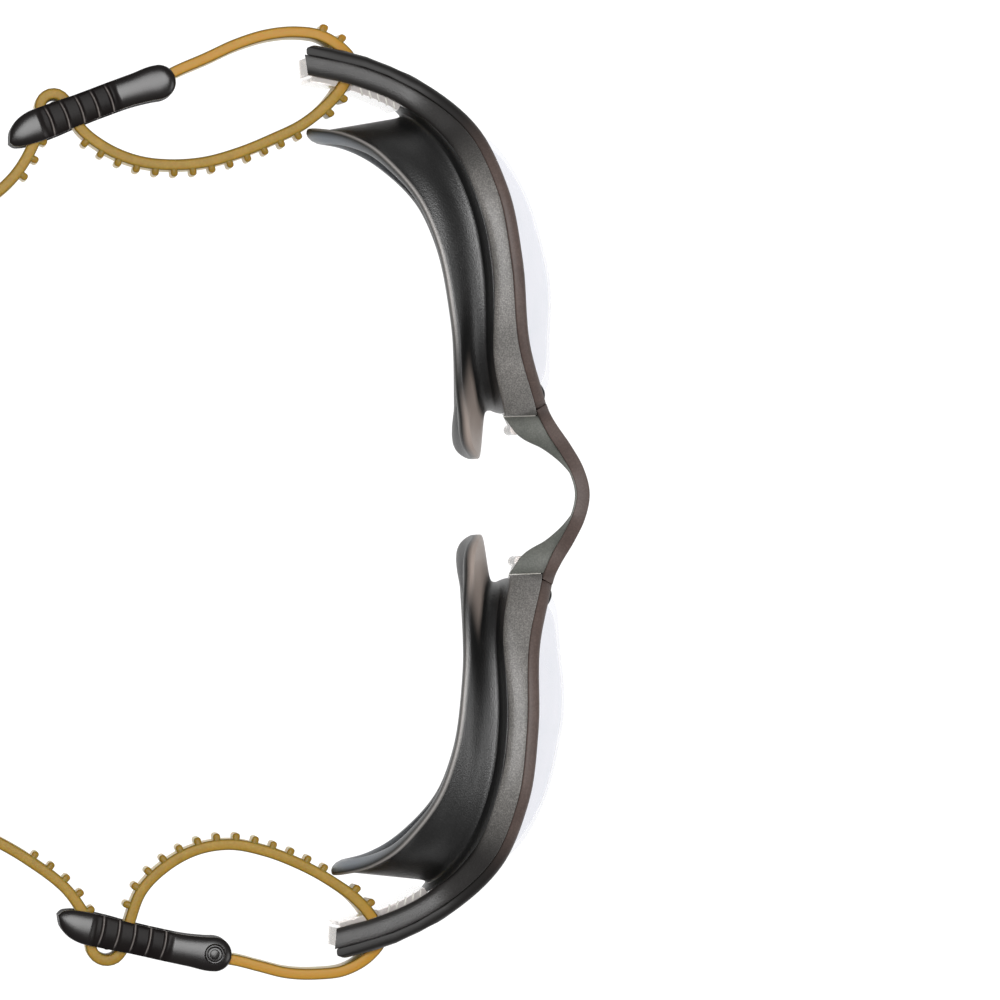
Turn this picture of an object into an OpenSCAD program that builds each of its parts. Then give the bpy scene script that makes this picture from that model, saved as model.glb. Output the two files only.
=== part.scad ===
// Swimming goggles: two clear lenses in clear side frames under soft covers,
// a soft nose bridge, flared eye seals, and a studded rubber strap that runs
// round the bar of each temple arm and through a slim side buckle.
// Millimetres. The origin is the middle of the nose saddle, +X is the wearer's
// left, +Y points back to the head, +Z is up. The goggles stand on the lower
// rims of the eye frames and on the back of the strap.

/* [Eye frames] */
// Gap between the two eye frames, which the nose bridge fills
bridge_w = 27; // [25:0.5:30]
// Width of one eye frame, from its nose end to the root of the arm
eye_w = 53; // [50:0.5:56]
// Height of an eye frame
eye_h = 42; // [39:0.5:45]
// Distance of the frame's nose end behind the nose saddle
nose_set = 4; // [3.4:0.1:4.6]
// Distance of the middle of the brow behind the nose saddle
brow_set = 9.6; // [8.6:0.1:10.4]
// Depth of the frame at its nose end
nose_t = 7.7; // [7:0.1:8.5]
// Depth of the frame at the middle of the brow
brow_t = 5.2; // [4.8:0.1:6]
// Width of the soft cover round the clear frame
cover_w = 1.6; // [1.2:0.1:2.2]
// Width of the ledge that carries the lens
ledge_w = 2.4; // [1.8:0.1:3]
// Thickness of the front bezel
bezel_t = 2; // [1.6:0.1:2.4]
// Width of the bezel over the middle of the brow
bezel_w = 3; // [2.6:0.1:3.4]

/* [Lenses] */
// Thickness of a lens
lens_t = 1.9; // [1.5:0.1:2]
// How far the middle of a lens stands ahead of its rim
lens_dome = 6.2; // [4:0.1:7]
// Width of the gasket round the lens
gasket_w = 0.7; // [0.5:0.1:1]

/* [Temple arms] */
// How far the end of an arm lies outside its eye frame
arm_out = 10.9; // [9.5:0.1:12.5]
// Distance of the end of the arms behind the nose saddle
arm_back = 41.2; // [39:0.2:44]
// Thickness of an arm with its cover
arm_t = 5.3; // [4.8:0.1:6]
// Height of an arm at its end
arm_h = 17.2; // [16.5:0.1:20]
// How far the outside of an arm reaches behind arm_back
arm_tip = 2; // [1.6:0.1:2.6]
// Slope of that end from the outside of the arm inwards
end_slant = 0.28; // [0.1:0.02:0.4]

/* [Nose bridge] */
// Height of the bridge over the nose
bridge_h = 8.4; // [7.2:0.2:11]
// Thickness of the soft web behind the band over the nose
bridge_lip = 0.7; // [0.5:0.1:1.2]
// Radius of the clear pins that hold the bridge
pin_r = 0.9; // [0.7:0.05:1.1]

/* [Eye seals] */
// Wall thickness of a seal where it leaves the frame
seal_t = 1.8; // [1.4:0.1:2.2]
// Thickness of the flared lip at its edge
lip_t = 1.2; // [0.9:0.1:1.5]
// Width of the lip, inwards from its edge
lip_w = 3.4; // [2.6:0.1:4.2]
// How much wider the lip is at the nose, and narrower at the temple
lip_lean = 1.2; // [0:0.1:1.4]
// How far the lip reaches towards the nose from the frame's nose end
lip_nose = 7.1; // [6:0.1:7.8]
// How far the seal's temple tip lies behind the end of the arm
seal_tip = 1.8; // [1:0.1:2.2]
// How much the lower lip lies ahead of the upper lip over the cheek
cheek = 4.5; // [2:0.5:6]

/* [Strap] */
// Width of the strap
strap_h = 11; // [10:0.2:11.6]
// Thickness of the strap without its studs
strap_t = 1.9; // [1.5:0.1:2]
// Height of a stud
stud_h = 1.2; // [0.8:0.1:1.3]
// Width of a stud along the strap
stud_w = 1.05; // [0.8:0.05:1.3]
// Distance from one stud to the next
stud_step = 3.08; // [2.6:0.02:4]
// Distance of the back of the strap behind the nose saddle
strap_back = 187; // [180:1:200]
// Height over both bands at the back of the head
band_h = 22; // [20:0.5:25]
// Height of the gap between the two bands
band_gap = 7; // [5:0.5:9]
// Distance from the back of the strap to where it starts to part
band_from = 68; // [60:1:75]
// Distance from the back of the strap to where the bands run apart in full
band_to = 29; // [24:1:34]

/* [Buckles] */
// Length of a buckle
buckle_l = 29.8; // [28:0.1:33]
// Width of a buckle at its front end
buckle_w = 5.8; // [5.4:0.1:6.6]
// Thickness of a cheek
cheek_t = 1.3; // [1:0.1:1.8]
// Radius of the pin that holds the strap's end
post_r = 0.95; // [0.8:0.05:1.1]
// Radius of the bar that the strap turns round
turn_r = 0.9; // [0.7:0.05:1]
// Distance from the pin to the turning bar
turn_s = 18.2; // [17.6:0.1:19]
// Number of grip ribs on a cheek
grip_n = 5; // [3:1:6]
// Distance from one grip rib to the next
grip_step = 2.7; // [2.2:0.1:2.9]
// Degrees that a buckle tilts about its pin, each way
buckle_tilt = 10; // [6:1:12]

/* [Hidden] */

black = [0.06, 0.06, 0.065];
brown = [0.29, 0.25, 0.23];
grey = [0.42, 0.42, 0.43];
clear = [0.86, 0.9, 0.92, 0.45];
gold = [0.74, 0.6, 0.3];

// Running gap between pieces of one body, and between pieces that move
gap = 0.15;
free = 0.3;
// Samples on each stretch of a smooth path
steps = 6;
// Size of a cutter that reaches past the whole part
far = 400;

x_nose = bridge_w / 2;
x_root = x_nose + eye_w;
x_tip = x_root + arm_out;
half_h = eye_h / 2;

// The front face of the frame seen from above, from the nose to the arm's end
turn_y = brow_set + 5.4;
front_points = [
    [x_nose, nose_set],
    [x_nose + 0.22 * eye_w, brow_set - 1.6],
    [x_nose + 0.5 * eye_w, brow_set],
    [x_nose + 0.73 * eye_w, brow_set + 1.6],
    [x_nose + 0.925 * eye_w, turn_y],
    [x_root + 0.35 * arm_out, mix(turn_y, arm_back, 0.306)],
    [x_root + 0.85 * arm_out, mix(turn_y, arm_back, 0.745)],
    [x_tip, arm_back]
];
front = smooth(front_points);
arm_side = side(front, arm_t);

// Back face of the lug that holds the bridge
lug_y = nose_set + nose_t - 1;

// The back of the frame seen from above
back = smooth([
    [x_nose, nose_set + nose_t],
    [x_nose + 0.12 * eye_w, brow_set + brow_t - 1.2],
    [x_nose + 0.31 * eye_w, brow_set + brow_t - 0.5],
    [x_nose + 0.54 * eye_w, brow_set + brow_t],
    [x_nose + 0.69 * eye_w, brow_set + brow_t + 1.6],
    [x_nose + 0.883 * eye_w, brow_set + brow_t + 6],
    arm_side[5 * steps],
    arm_side[6 * steps],
    arm_side[7 * steps]
]);

// The outline seen from the front: half heights along X
outline = smooth([
    [x_nose, 0.405 * half_h],
    [x_nose + 0.03 * eye_w, 0.55 * half_h],
    [x_nose + 0.12 * eye_w, 0.76 * half_h],
    [x_nose + 0.27 * eye_w, 0.93 * half_h],
    [x_nose + 0.5 * eye_w, half_h],
    [x_nose + 0.73 * eye_w, 0.945 * half_h],
    [x_nose + 0.88 * eye_w, 0.75 * half_h],
    [x_root, max(0.56 * half_h, arm_h / 2 + 1)],
    [x_root + 0.4 * arm_out, arm_h / 2 + 0.6],
    [x_root + 0.8 * arm_out, arm_h / 2 + 0.2],
    [x_tip + arm_tip, arm_h / 2]
]);

// The lens opening in the bezel, an oval
open_x = x_nose + 0.49 * eye_w;
open_a = eye_w / 2 - 2.9;
open_b = half_h - bezel_w;
round_e = 2.4;

// The rim of the seal seen from above, from the nose to the temple tip
seal_back = arm_back + seal_tip;
rim_x = (x_nose - lip_nose + rim_tip_x()) / 2;
rim_a = (rim_tip_x() - x_nose + lip_nose) / 2;
rim_b = half_h - 1.6;
rim = smooth([
    [x_nose - lip_nose, brow_set + 8.8],
    [x_nose + 0.5, brow_set + 10.8],
    [x_nose + 0.31 * eye_w, brow_set + 11.9],
    [x_nose + 0.575 * eye_w, brow_set + 14.2],
    [x_nose + 0.71 * eye_w, brow_set + 17],
    [x_nose + 0.8 * eye_w, mix(brow_set + 17, seal_back, 0.21)],
    [x_nose + 0.875 * eye_w, mix(brow_set + 17, seal_back, 0.45)],
    [x_nose + 0.915 * eye_w, mix(brow_set + 17, seal_back, 0.7)],
    [rim_tip_x(), seal_back]
]);

// The strap hangs a little down to the table behind the arms
pivot_y = arm_back - 2.5;
half_band = band_h / 2;
reach = strap_back + strap_t / 2 - pivot_y;
slope = asin(half_h / norm([reach, half_band])) - atan(half_band / reach);
cut_r = 10;

half_t = strap_t / 2;

// A point seen from above, given from a place a little behind the end of the left arm
function at(dx, dy) = [x_tip + dx, pivot_y + 3.7 + dy];

// Round the bar, from the outside through the slot to the inside, for both sides
bar_out = at(0.1, -4.9);
bar_mid = at(-2.9, -7.2);
bar_in = at(-7, -5.5);

// Each side: buckle pin, buckle angle, outer run, inner run, tail, the radius of
// the strap's loop round the turning bar, and the numbers of studs outside the
// arm and on the tail
left_side = [
    at(-5.3, 25.4), 18.4,
    [at(-3.7, 22.8), at(-1.5, 17.3), at(0.8, 11.8), at(2.2, 6.6), at(2.5, 1.8), at(1.8, -2.2)],
    [at(-10, -3), at(-13.1, 1), at(-15.6, 6.5), at(-17.8, 12.5),
     at(-19.1, 17.9), at(-19.4, 23.3), at(-18.6, 29.2), at(-16, 35)],
    [at(-12.6, 45.9), at(-15.6, 47.2), at(-20.4, 50.4), at(-24.2, 55), at(-27.6, 63.6),
     at(-29.6, 75.1), at(-30.4, 89.6)],
    2.3, 2, 3
];
right_side = [
    at(-1.3, 20.9), 14.1,
    [at(-0.1, 17.2), at(1, 13.4), at(2.3, 8.8), at(2.7, 3.6), at(2.2, -1.2)],
    [at(-9.9, -3.2), at(-13.2, 1), at(-16.3, 6.4), at(-18.5, 11.7),
     at(-19.8, 17.6), at(-19.2, 23), at(-16.5, 28.6), at(-12.3, 33)],
    [at(-11.3, 44.2), at(-18.5, 52.1), at(-23.4, 60.6), at(-27.5, 72.6), at(-29.4, 89.6)],
    2.75, 0, 5
];

// Radius about the buckle's pin where the strap leaves the buckle's body
leave_r = 27.2;
cheek_z = strap_h / 2 + free;
// Place of the turning bar across the buckle
turn_t = 2.2;

function mix(a, b, t) = a + (b - a) * t;
function rim_tip_x() = x_root - 3.6;
function turned(v) = [for (i = [len(v) - 1:-1:0]) v[i]];
function mirrored(v) = [for (p = turned(v)) [-p.x, p.y]];
function unit(v) = v / norm(v);

// One point of a smooth curve that passes through p1 and p2, even where the
// distances between the points differ
function through(p0, p1, p2, p3, t) = let (
    a = norm(p1 - p0),
    b = norm(p2 - p1),
    c = norm(p3 - p2),
    m1 = b * ((p1 - p0) / a - (p2 - p0) / (a + b)) + p2 - p1,
    m2 = b * ((p3 - p2) / c - (p3 - p1) / (b + c)) + p2 - p1
) (2 * t ^ 3 - 3 * t ^ 2 + 1) * p1 + (t ^ 3 - 2 * t ^ 2 + t) * m1
    + (3 * t ^ 2 - 2 * t ^ 3) * p2 + (t ^ 3 - t ^ 2) * m2;
function smooth(p) = let (
    n = len(p) - 1,
    q = concat([2 * p[0] - p[1]], p, [2 * p[n] - p[n - 1]])
) [for (i = [1:n]) for (j = [0:steps - 1]) through(q[i - 1], q[i], q[i + 1], q[i + 2], j / steps), p[n]];

// The direction of a path at one point, and the path moved to its left
function heading(p, i) = unit(p[min(i + 1, len(p) - 1)] - p[max(i - 1, 0)]);
function left_of(v) = [-v.y, v.x];
function side(p, d) = [for (i = [0:len(p) - 1]) p[i] + d * left_of(heading(p, i))];
function strip(p, a, b) = concat(side(p, a), turned(side(p, b)));

// The height of a path over X, where X grows along it
function y_at(p, x) = lookup(x, [for (v = p) [v.x, v.y]]);

// Lengths along a path, and the point at one length
function lengths(p, i = 0, sum = 0) = i >= len(p) - 1 ? [sum]
    : concat([sum], lengths(p, i + 1, sum + norm(p[i + 1] - p[i])));
function at_length(p, all, s) = let (
    i = max([for (k = [0:len(all) - 2]) if (all[k] <= s) k]),
    t = (s - all[i]) / (all[i + 1] - all[i])
) [mix(p[i], p[i + 1], t), unit(p[i + 1] - p[i])];

// A stretch of a path, from one length along it to another
function stretch(p, from, to) = let (all = lengths(p)) concat(
    [at_length(p, all, from)[0]],
    [for (i = [0:len(p) - 1]) if (all[i] > from + 0.1 && all[i] < to - 0.1) p[i]],
    [at_length(p, all, to)[0]]
);

// An oval with flattened sides, grown by g
function power(v, e) = sign(v) * pow(abs(v), e);
function oval(x, a, b, g, n) = [
    for (i = [0:n - 1]) let (t = 360 * i / n)
        [x + (a + g) * power(cos(t), 2 / round_e), (b + g) * power(sin(t), 2 / round_e)]
];

// Solids that a shape seen from above or from the front makes
module from_above(points, h = far) {
    linear_extrude(height = h, center = true) polygon(points);
}

module from_front(points) {
    translate([0, far / 2, 0]) rotate([90, 0, 0]) linear_extrude(height = far) polygon(points);
}

module frame_outline(less) {
    upper = [for (p = outline) [p.x, p.y - less]];
    lower = [for (p = turned(outline)) [p.x, less - p.y]];
    from_front(concat(upper, lower));
}

module lens_opening(grow) {
    from_front(oval(open_x, open_a, open_b, grow, 72));
}

// The way of the strap through the arm
slot_path = stretch(strap_path(left_side), length_at(left_side, bar_index(left_side) - 3),
    length_at(left_side, bar_index(left_side) + 2));
function slot_strip() = strip(slot_path, -half_t - free, half_t + free);
module strap_slot() {
    from_above(slot_strip(), strap_h + 2 * free);
}

// A closed ring from cross-sections of equal length, in order round it
module ring_solid(rings) {
    n = len(rings);
    m = len(rings[0]);
    polyhedron(
        points = [for (r = rings) each r],
        faces = [
            for (i = [0:n - 1]) for (j = [0:m - 1]) let (
                a = i * m + j,
                b = i * m + (j + 1) % m,
                c = ((i + 1) % n) * m + (j + 1) % m,
                d = ((i + 1) % n) * m + j
            ) each [[a, c, b], [a, d, c]]
        ]
    );
}

// A domed shell over the lens opening
module lens() {
    around = 48;
    out = 6;
    rim_grow = -gasket_w - 2 * gap;
    edge = oval(open_x, open_a, open_b, rim_grow, around);
    rim_y = bezel_t - gap;
    // The inner side, with t = 1, lies within the outer one by the thickness
    function spot(k, i, t) = let (
        r = sin(90 * k / out),
        q = r * (1 - t * lens_t / (open_a + rim_grow)),
        x = mix(open_x, edge[i].x, q)
    ) [x, y_at(front, x) + rim_y - (1 - t) * lens_t - lens_dome * sqrt(1 - pow(r, 4)), edge[i].y * q];
    function sheet(t) = [spot(0, 0, t), for (k = [1:out]) for (i = [0:around - 1]) spot(k, i, t)];
    function cell(k, i) = 1 + (k - 1) * around + i % around;
    one = 1 + out * around;
    polyhedron(
        points = concat(sheet(0), sheet(1)),
        faces = concat(
            [for (i = [0:around - 1]) [0, cell(1, i), cell(1, i + 1)]],
            [for (i = [0:around - 1]) [one, one + cell(1, i + 1), one + cell(1, i)]],
            [for (k = [1:out - 1]) for (i = [0:around - 1]) each [
                [cell(k, i), cell(k + 1, i), cell(k + 1, i + 1)],
                [cell(k, i), cell(k + 1, i + 1), cell(k, i + 1)],
                [one + cell(k, i), one + cell(k + 1, i + 1), one + cell(k + 1, i)],
                [one + cell(k, i), one + cell(k, i + 1), one + cell(k + 1, i + 1)]
            ]],
            [for (i = [0:around - 1]) each [
                [cell(out, i), one + cell(out, i), one + cell(out, i + 1)],
                [cell(out, i), one + cell(out, i + 1), cell(out, i + 1)]
            ]]
        )
    );
}

// The dark ring between a lens and its bezel
module lens_gasket() {
    intersection() {
        from_above(strip(front, 0.4, bezel_t));
        difference() {
            lens_opening(-gap);
            lens_opening(-gap - gasket_w);
        }
    }
}

// The rounded dark band round the front, which runs on along the arm
module bezel() {
    difference() {
        intersection() {
            from_above(concat(side(front, 0), bezel_end(), turned(side(front, bezel_t))));
            frame_outline(0.4);
        }
        lens_opening(0);
        strap_slot();
    }
}

// The room of the clear arm inside its cover, and of the lug that holds the bridge
module arm_core(grow) {
    core_h = strap_h / 2 + free + 1.4;
    translate([open_x, -far / 2, -core_h - grow]) cube([far, far, 2 * (core_h + grow)]);
}

module nose_lug(grow) {
    translate([x_nose - 2.7, lug_y - 1.6 - grow, -3 - grow])
        cube([4, 1.6 + 2 * grow, 6 + 2 * grow]);
}

module bridge_pin(r, h) {
    translate([x_nose - 2.7, lug_y - 0.4, 0]) cylinder(r = r, h = h, center = true, $fn = 40);
}

// The hard clear frame: a ledge behind the lens, the arm and its bar
module clear_frame() {
    arm_from = [for (p = front) if (p.y > turn_y + 9) p];
    difference() {
        union() {
            intersection() {
                from_above(concat(side(front, bezel_t + gap), turned(back)));
                union() {
                    lens_opening(cover_w - 0.1);
                    arm_core(0);
                }
                frame_outline(1.6);
            }
            intersection() {
                difference() {
                    union() {
                        from_above(strip(arm_from, bezel_t + 1, arm_t + 1));
                        from_above(arm_end());
                    }
                    from_above(slot_strip());
                }
                arm_core(0);
            }
            nose_lug(0);
            bridge_pin(pin_r, bridge_h);
        }
        lens_opening(-ledge_w);
        strap_slot();
    }
}

// A point of the arm's slanted end, inside its outer face by t and short of it by less
function end_point(t, less) = let (n = len(front) - 1, d = heading(front, n))
    front[n] + (arm_tip - less - end_slant * t) * d + t * left_of(d);
function bezel_end() = [end_point(0, 1.5), end_point(0.35, 0.5), end_point(0.9, 0.1), end_point(bezel_t, 0)];
function cover_end() = [end_point(bezel_t + gap, 0), end_point(arm_t - 0.4, 0), end_point(arm_t, 0.4)];

// The end of the clear arm, which closes the slot behind the bar
function arm_end() = let (n = len(front) - 1, d = heading(front, n)) [
    front[n] - 2 * d + bezel_t * left_of(d),
    front[n] + bezel_t * left_of(d),
    end_point(bezel_t + 0.3, 0.1),
    end_point(arm_t, 0.1),
    end_point(arm_t + 0.5, 0.6),
    front[n] - 2 * d + (arm_t + 0.9) * left_of(d)
];

// The soft cover round the clear frame and along the top and bottom of the arm
module frame_cover() {
    difference() {
        intersection() {
            from_above(concat(side(front, bezel_t + gap), cover_end(), turned(back)));
            frame_outline(0);
        }
        lens_opening(cover_w);
        arm_core(0.1);
        nose_lug(0.1);
    }
}

// The soft cup and its flared lip, as cross-sections round the eye
module eye_seal() {
    around = 60;
    base = oval(open_x + 0.4, open_a + 1.7, open_b + 0.7, 0, around);
    base_in = oval(open_x + 0.4, open_a + 1.7 - seal_t, open_b + 0.7 - seal_t, 0, around);
    edge = oval(rim_x, rim_a, rim_b, 0, around);
    edge_in = oval(rim_x + lip_lean, rim_a - lip_w, rim_b - lip_w, 0, around);
    function lip_y(i) = y_at(rim, edge[i].x) - lip_t - relief(i);
    function relief(i) = edge[i].y >= 0 ? 0
        : cheek * -edge[i].y / rim_b * (1 - pow(abs(edge[i].x - rim_x) / rim_a, 6));
    ring_solid([
        for (i = [0:around - 1]) let (
            root = y_at(back, base[i].x) + gap,
            root_in = y_at(back, base_in[i].x) + gap,
            tip = lip_y(i),
            waist = mix(base[i], edge[i], 0.06),
            waist_in = mix(base_in[i], edge_in[i], 0.12),
            waist_y = mix(root, tip, 0.62)
        ) [
            [base[i].x, root, base[i].y],
            [waist.x, waist_y, waist.y],
            [edge[i].x, tip, edge[i].y],
            [mix(edge[i].x, edge_in[i].x, 0.15), tip + lip_t, mix(edge[i].y, edge_in[i].y, 0.15)],
            [edge_in[i].x, mix(root, tip, 0.9) + lip_t, edge_in[i].y],
            [waist_in.x, waist_y, waist_in.y],
            [base_in[i].x, root_in, base_in[i].y]
        ]
    ]);
}

// The nose bridge: its front path, its back path and its half height over X
function both_halves(p) = smooth(concat(mirrored([for (i = [1:len(p) - 1]) p[i]]), p));
bridge_front = both_halves([
    [0, -bezel_t - bridge_lip - 0.5],
    [0.53 * x_nose, nose_set - 4.6],
    [x_nose - gap, nose_set - 0.1]
]);
bridge_back = both_halves([
    [0, -0.5],
    [0.19 * x_nose, 0],
    [0.42 * x_nose, 2],
    [0.56 * x_nose, 4.4],
    [0.65 * x_nose, 7],
    [0.79 * x_nose, nose_set + nose_t - 1],
    [x_nose - gap, nose_set + nose_t]
]);
bridge_top = both_halves([
    [0, bridge_h / 2],
    [0.37 * x_nose, bridge_h / 2 + 0.2],
    [0.74 * x_nose, mix(bridge_h / 2, 0.405 * half_h, 0.6)],
    [x_nose - gap, 0.405 * half_h - 0.4]
]);

module bridge_outline() {
    from_front(concat(bridge_top, [for (p = turned(bridge_top)) [p.x, -p.y]]));
}

module nose_bridge_band() {
    color(brown) intersection() {
        from_above(strip(bridge_front, 0, bezel_t));
        bridge_outline();
    }
}

module nose_bridge_web() {
    color(grey) difference() {
        intersection() {
            from_above(concat(side(bridge_front, bezel_t), turned(bridge_back)));
            bridge_outline();
        }
        for (m = [0, 1]) mirror([m, 0, 0]) {
            nose_lug(0.1);
            bridge_pin(pin_r + 0.05, far);
        }
    }
}

// A point given along and across a buckle, from its pin
function buckle_point(s, along, across) = s[0]
    + along * [-sin(s[1]), cos(s[1])] + across * [cos(s[1]), sin(s[1])];
function turn_points(s) = let (c = buckle_point(s, turn_s, turn_t))
    [for (a = [-72:36:108]) c + s[5] * [cos(a + s[1] / 2), sin(a + s[1] / 2)]];
function turn_start(s) = buckle_point(s, turn_s - 3, -2.6);

// One side of the strap: from the buckle's pin round the bar of the arm, back
// to the buckle, round its turning bar and into the tail
function strap_path(s) = smooth(concat(
    [s[0] + [0.6, -0.6]], s[2], [bar_out, bar_mid, bar_in], s[3],
    [turn_start(s)], turn_points(s), s[4]
));
function bar_index(s) = len(s[2]) + 3;
function length_at(s, i) = lengths(strap_path(s))[i * steps];
function turn_length(s) = length_at(s, bar_index(s) + len(s[3]) + 1);
function run_length(s) = turn_length(s) - norm(turn_start(s) - s[0]) * sin(buckle_tilt) - free;

// Length along the side at stud number k, counted from the bar or on the tail
function stud_at(s, k) = length_at(s, bar_index(s)) + (k + 0.5) * stud_step;
function tail_index(s) = bar_index(s) + len(s[3]) + 8;
function tail_stud_at(s, k) = length_at(s, tail_index(s) - 1) + 4.4 + k * stud_step;
// Studs on the tail: the first ones lie on the strap's turn, the others on the head strap
turn_studs = 2;
function past_tail(s, k) = tail_stud_at(s, k) - length_at(s, tail_index(s));

// From the left buckle round the back of the head to the right buckle
function lead(s) = concat([turn_points(s)[5]], s[4]);
head_points = [
    [x_tip - 31.4, strap_back - 37],
    [x_tip - 37.4, strap_back - 20],
    [x_tip - 53.4, strap_back - 5]
];
head_path = let (
    p = smooth(concat(lead(left_side), head_points, [[0, strap_back]], mirrored(head_points),
        mirrored(lead(right_side))))
) [for (i = [steps:len(p) - 1 - steps]) p[i]];

// A stretch of strap seen from above, with its studs from one length to another
module strap_shape(path, from = 0, to = -1) {
    all = lengths(path);
    polygon(strip(path, -half_t, half_t));
    for (s = [from:stud_step:to + 0.1]) {
        spot = at_length(path, all, s);
        out = left_of(spot[1]);
        translate(spot[0] + half_t * out) rotate(atan2(out.y, out.x)) {
            translate([-0.3, -stud_w / 2]) square([stud_h - stud_w / 2 + 0.3, stud_w]);
            translate([stud_h - stud_w / 2, 0]) circle(d = stud_w, $fn = 16);
        }
    }
}

module upright(h) {
    linear_extrude(height = h, center = true) children();
}

module pivot_drum(r) {
    translate([0, pivot_y, 0]) rotate([0, 90, 0])
        cylinder(r = r, h = far, center = true, $fn = 96);
}

// Everything behind the arms hangs at the strap's slope
module sloped() {
    translate([0, pivot_y, 0]) rotate([-slope, 0, 0]) translate([0, -pivot_y, 0]) children();
}

module post_drum(s, r) {
    translate(s[0]) cylinder(r = r, h = far, center = true, $fn = 96);
}

// Round the bar: no stud where the tip of the soft seal touches the strap
module strap_wrap(s) {
    intersection() {
        upright(strap_h) {
            strap_shape(strap_path(s), stud_at(s, -4.25), stud_at(s, -5.25 + s[6]));
            strap_shape(strap_path(s), stud_at(s, 0), stud_at(s, 1));
            strap_shape(strap_path(s), stud_at(s, 3), stud_at(s, 3));
        }
        pivot_drum(cut_r);
    }
}

// The end of the strap, with the eye that holds it on the buckle's pin
module strap_end(s) {
    sloped() difference() {
        union() {
            upright(strap_h) strap_shape(stretch(strap_path(s), 0, length_at(s, bar_index(s) - 2)));
            translate(s[0]) cylinder(r = post_r + 1.25, h = strap_h, center = true, $fn = 48);
        }
        translate(s[0]) cylinder(r = post_r + 0.05, h = far, center = true, $fn = 48);
        pivot_drum(cut_r + free);
    }
}

module strap_run(s) {
    path = stretch(strap_path(s), length_at(s, bar_index(s)), run_length(s));
    first = stud_at(s, 5) - length_at(s, bar_index(s));
    sloped() difference() {
        upright(strap_h) strap_shape(path, first, run_length(s) - length_at(s, bar_index(s)) - 1);
        pivot_drum(cut_r + free);
    }
}

module strap_turn(s) {
    path = strap_path(s);
    all = lengths(path);
    sloped() intersection() {
        upright(strap_h) strap_shape(stretch(path, turn_length(s), all[len(all) - 1]),
            tail_stud_at(s, 0) - turn_length(s), tail_stud_at(s, turn_studs - 1) - turn_length(s));
        post_drum(s, leave_r);
    }
}

// The strap behind the buckles, which parts into two bands over the head
module head_strap() {
    ends = lengths(head_path);
    last = ends[len(ends) - 1];
    part_y = strap_back - band_from;
    wide_y = strap_back - band_to;
    color(gold) sloped() difference() {
        intersection() {
            union() {
                from_above(strip(head_path, -half_t, half_t), band_h);
                upright(strap_h) strap_shape(head_path, past_tail(left_side, turn_studs),
                    past_tail(left_side, left_side[7] - 1));
                upright(strap_h) strap_shape(head_path, last - past_tail(right_side, right_side[7] - 1),
                    last - past_tail(right_side, turn_studs));
            }
            band_profile([
                [pivot_y, strap_h / 2], [part_y - 8, strap_h / 2],
                [part_y + 12, strap_h / 2 + 1.2], [wide_y - 14, half_band - 0.8],
                [wide_y, half_band], [strap_back + 9, half_band]
            ]);
        }
        band_profile([
            [part_y, 0], [part_y + 1.2, 0.9], [part_y + 10, 1.5],
            [wide_y - 14, band_gap / 2 - 0.6], [wide_y, band_gap / 2],
            [strap_back + 9, band_gap / 2]
        ]);
        post_drum(left_side, leave_r + free);
        mirror([1, 0, 0]) post_drum(right_side, leave_r + free);
    }
}

// A solid across the part from a side view that is alike above and below
module band_profile(upper) {
    path = smooth(upper);
    translate([-far / 2, 0, 0]) rotate([90, 0, 90]) linear_extrude(height = far)
        polygon(concat(path, [for (p = turned(path)) [p.x, -p.y]]));
}

// A buckle, drawn about its pin, with its length along Y
module buckle_place(s) {
    sloped() translate(s[0]) rotate(s[1]) children();
}

module cheek_shape() {
    front_r = buckle_w / 2;
    rear = buckle_l - front_r;
    circle(r = front_r, $fn = 48);
    translate([0.1, rear - 1.7]) circle(r = 1.6, $fn = 32);
    polygon([
        [-front_r, 0], [-front_r + 0.35, 6], [-front_r + 0.4, rear - 7],
        [-front_r + 0.9, rear - 4], [-1.35, rear - 1.9],
        [1.5, rear - 1], [front_r - 0.5, rear - 4], [front_r - 0.3, rear - 7],
        [front_r - 0.3, 6], [front_r, 0]
    ]);
}

module buckle() {
    rib_from = buckle_l - buckle_w / 2 - 6.4;
    difference() {
        union() {
            for (m = [0, 1]) mirror([0, 0, m]) {
                translate([0, 0, cheek_z]) linear_extrude(height = cheek_t) cheek_shape();
                for (i = [0:grip_n - 1]) translate([0, rib_from - i * grip_step, cheek_z + cheek_t])
                    cube([buckle_w - 1.6, 1.2, 0.8], center = true);
            }
            translate([turn_t, turn_s, 0])
                cylinder(r = turn_r, h = 2 * cheek_z + 0.4, center = true, $fn = 40);
            translate([-1.4, turn_s - turn_r, -cheek_z - 0.2])
                cube([turn_t + 1.4, 2 * turn_r, 2 * cheek_z + 0.4]);
            translate([0.9, 4.6, -cheek_z - 0.2]) cube([1.5, 6.4, 2 * cheek_z + 0.4]);
        }
        cylinder(r = post_r + 0.05, h = far, center = true, $fn = 48);
        translate([0, 0, cheek_z + cheek_t - 0.5]) cylinder(r = post_r + 0.65, h = 1, $fn = 48);
    }
}

// The pin, with a small head under the lower cheek
module buckle_pin() {
    low = cheek_z + cheek_t;
    translate([0, 0, -low]) cylinder(r = post_r, h = 2 * low - 0.1, $fn = 48);
}

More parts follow.
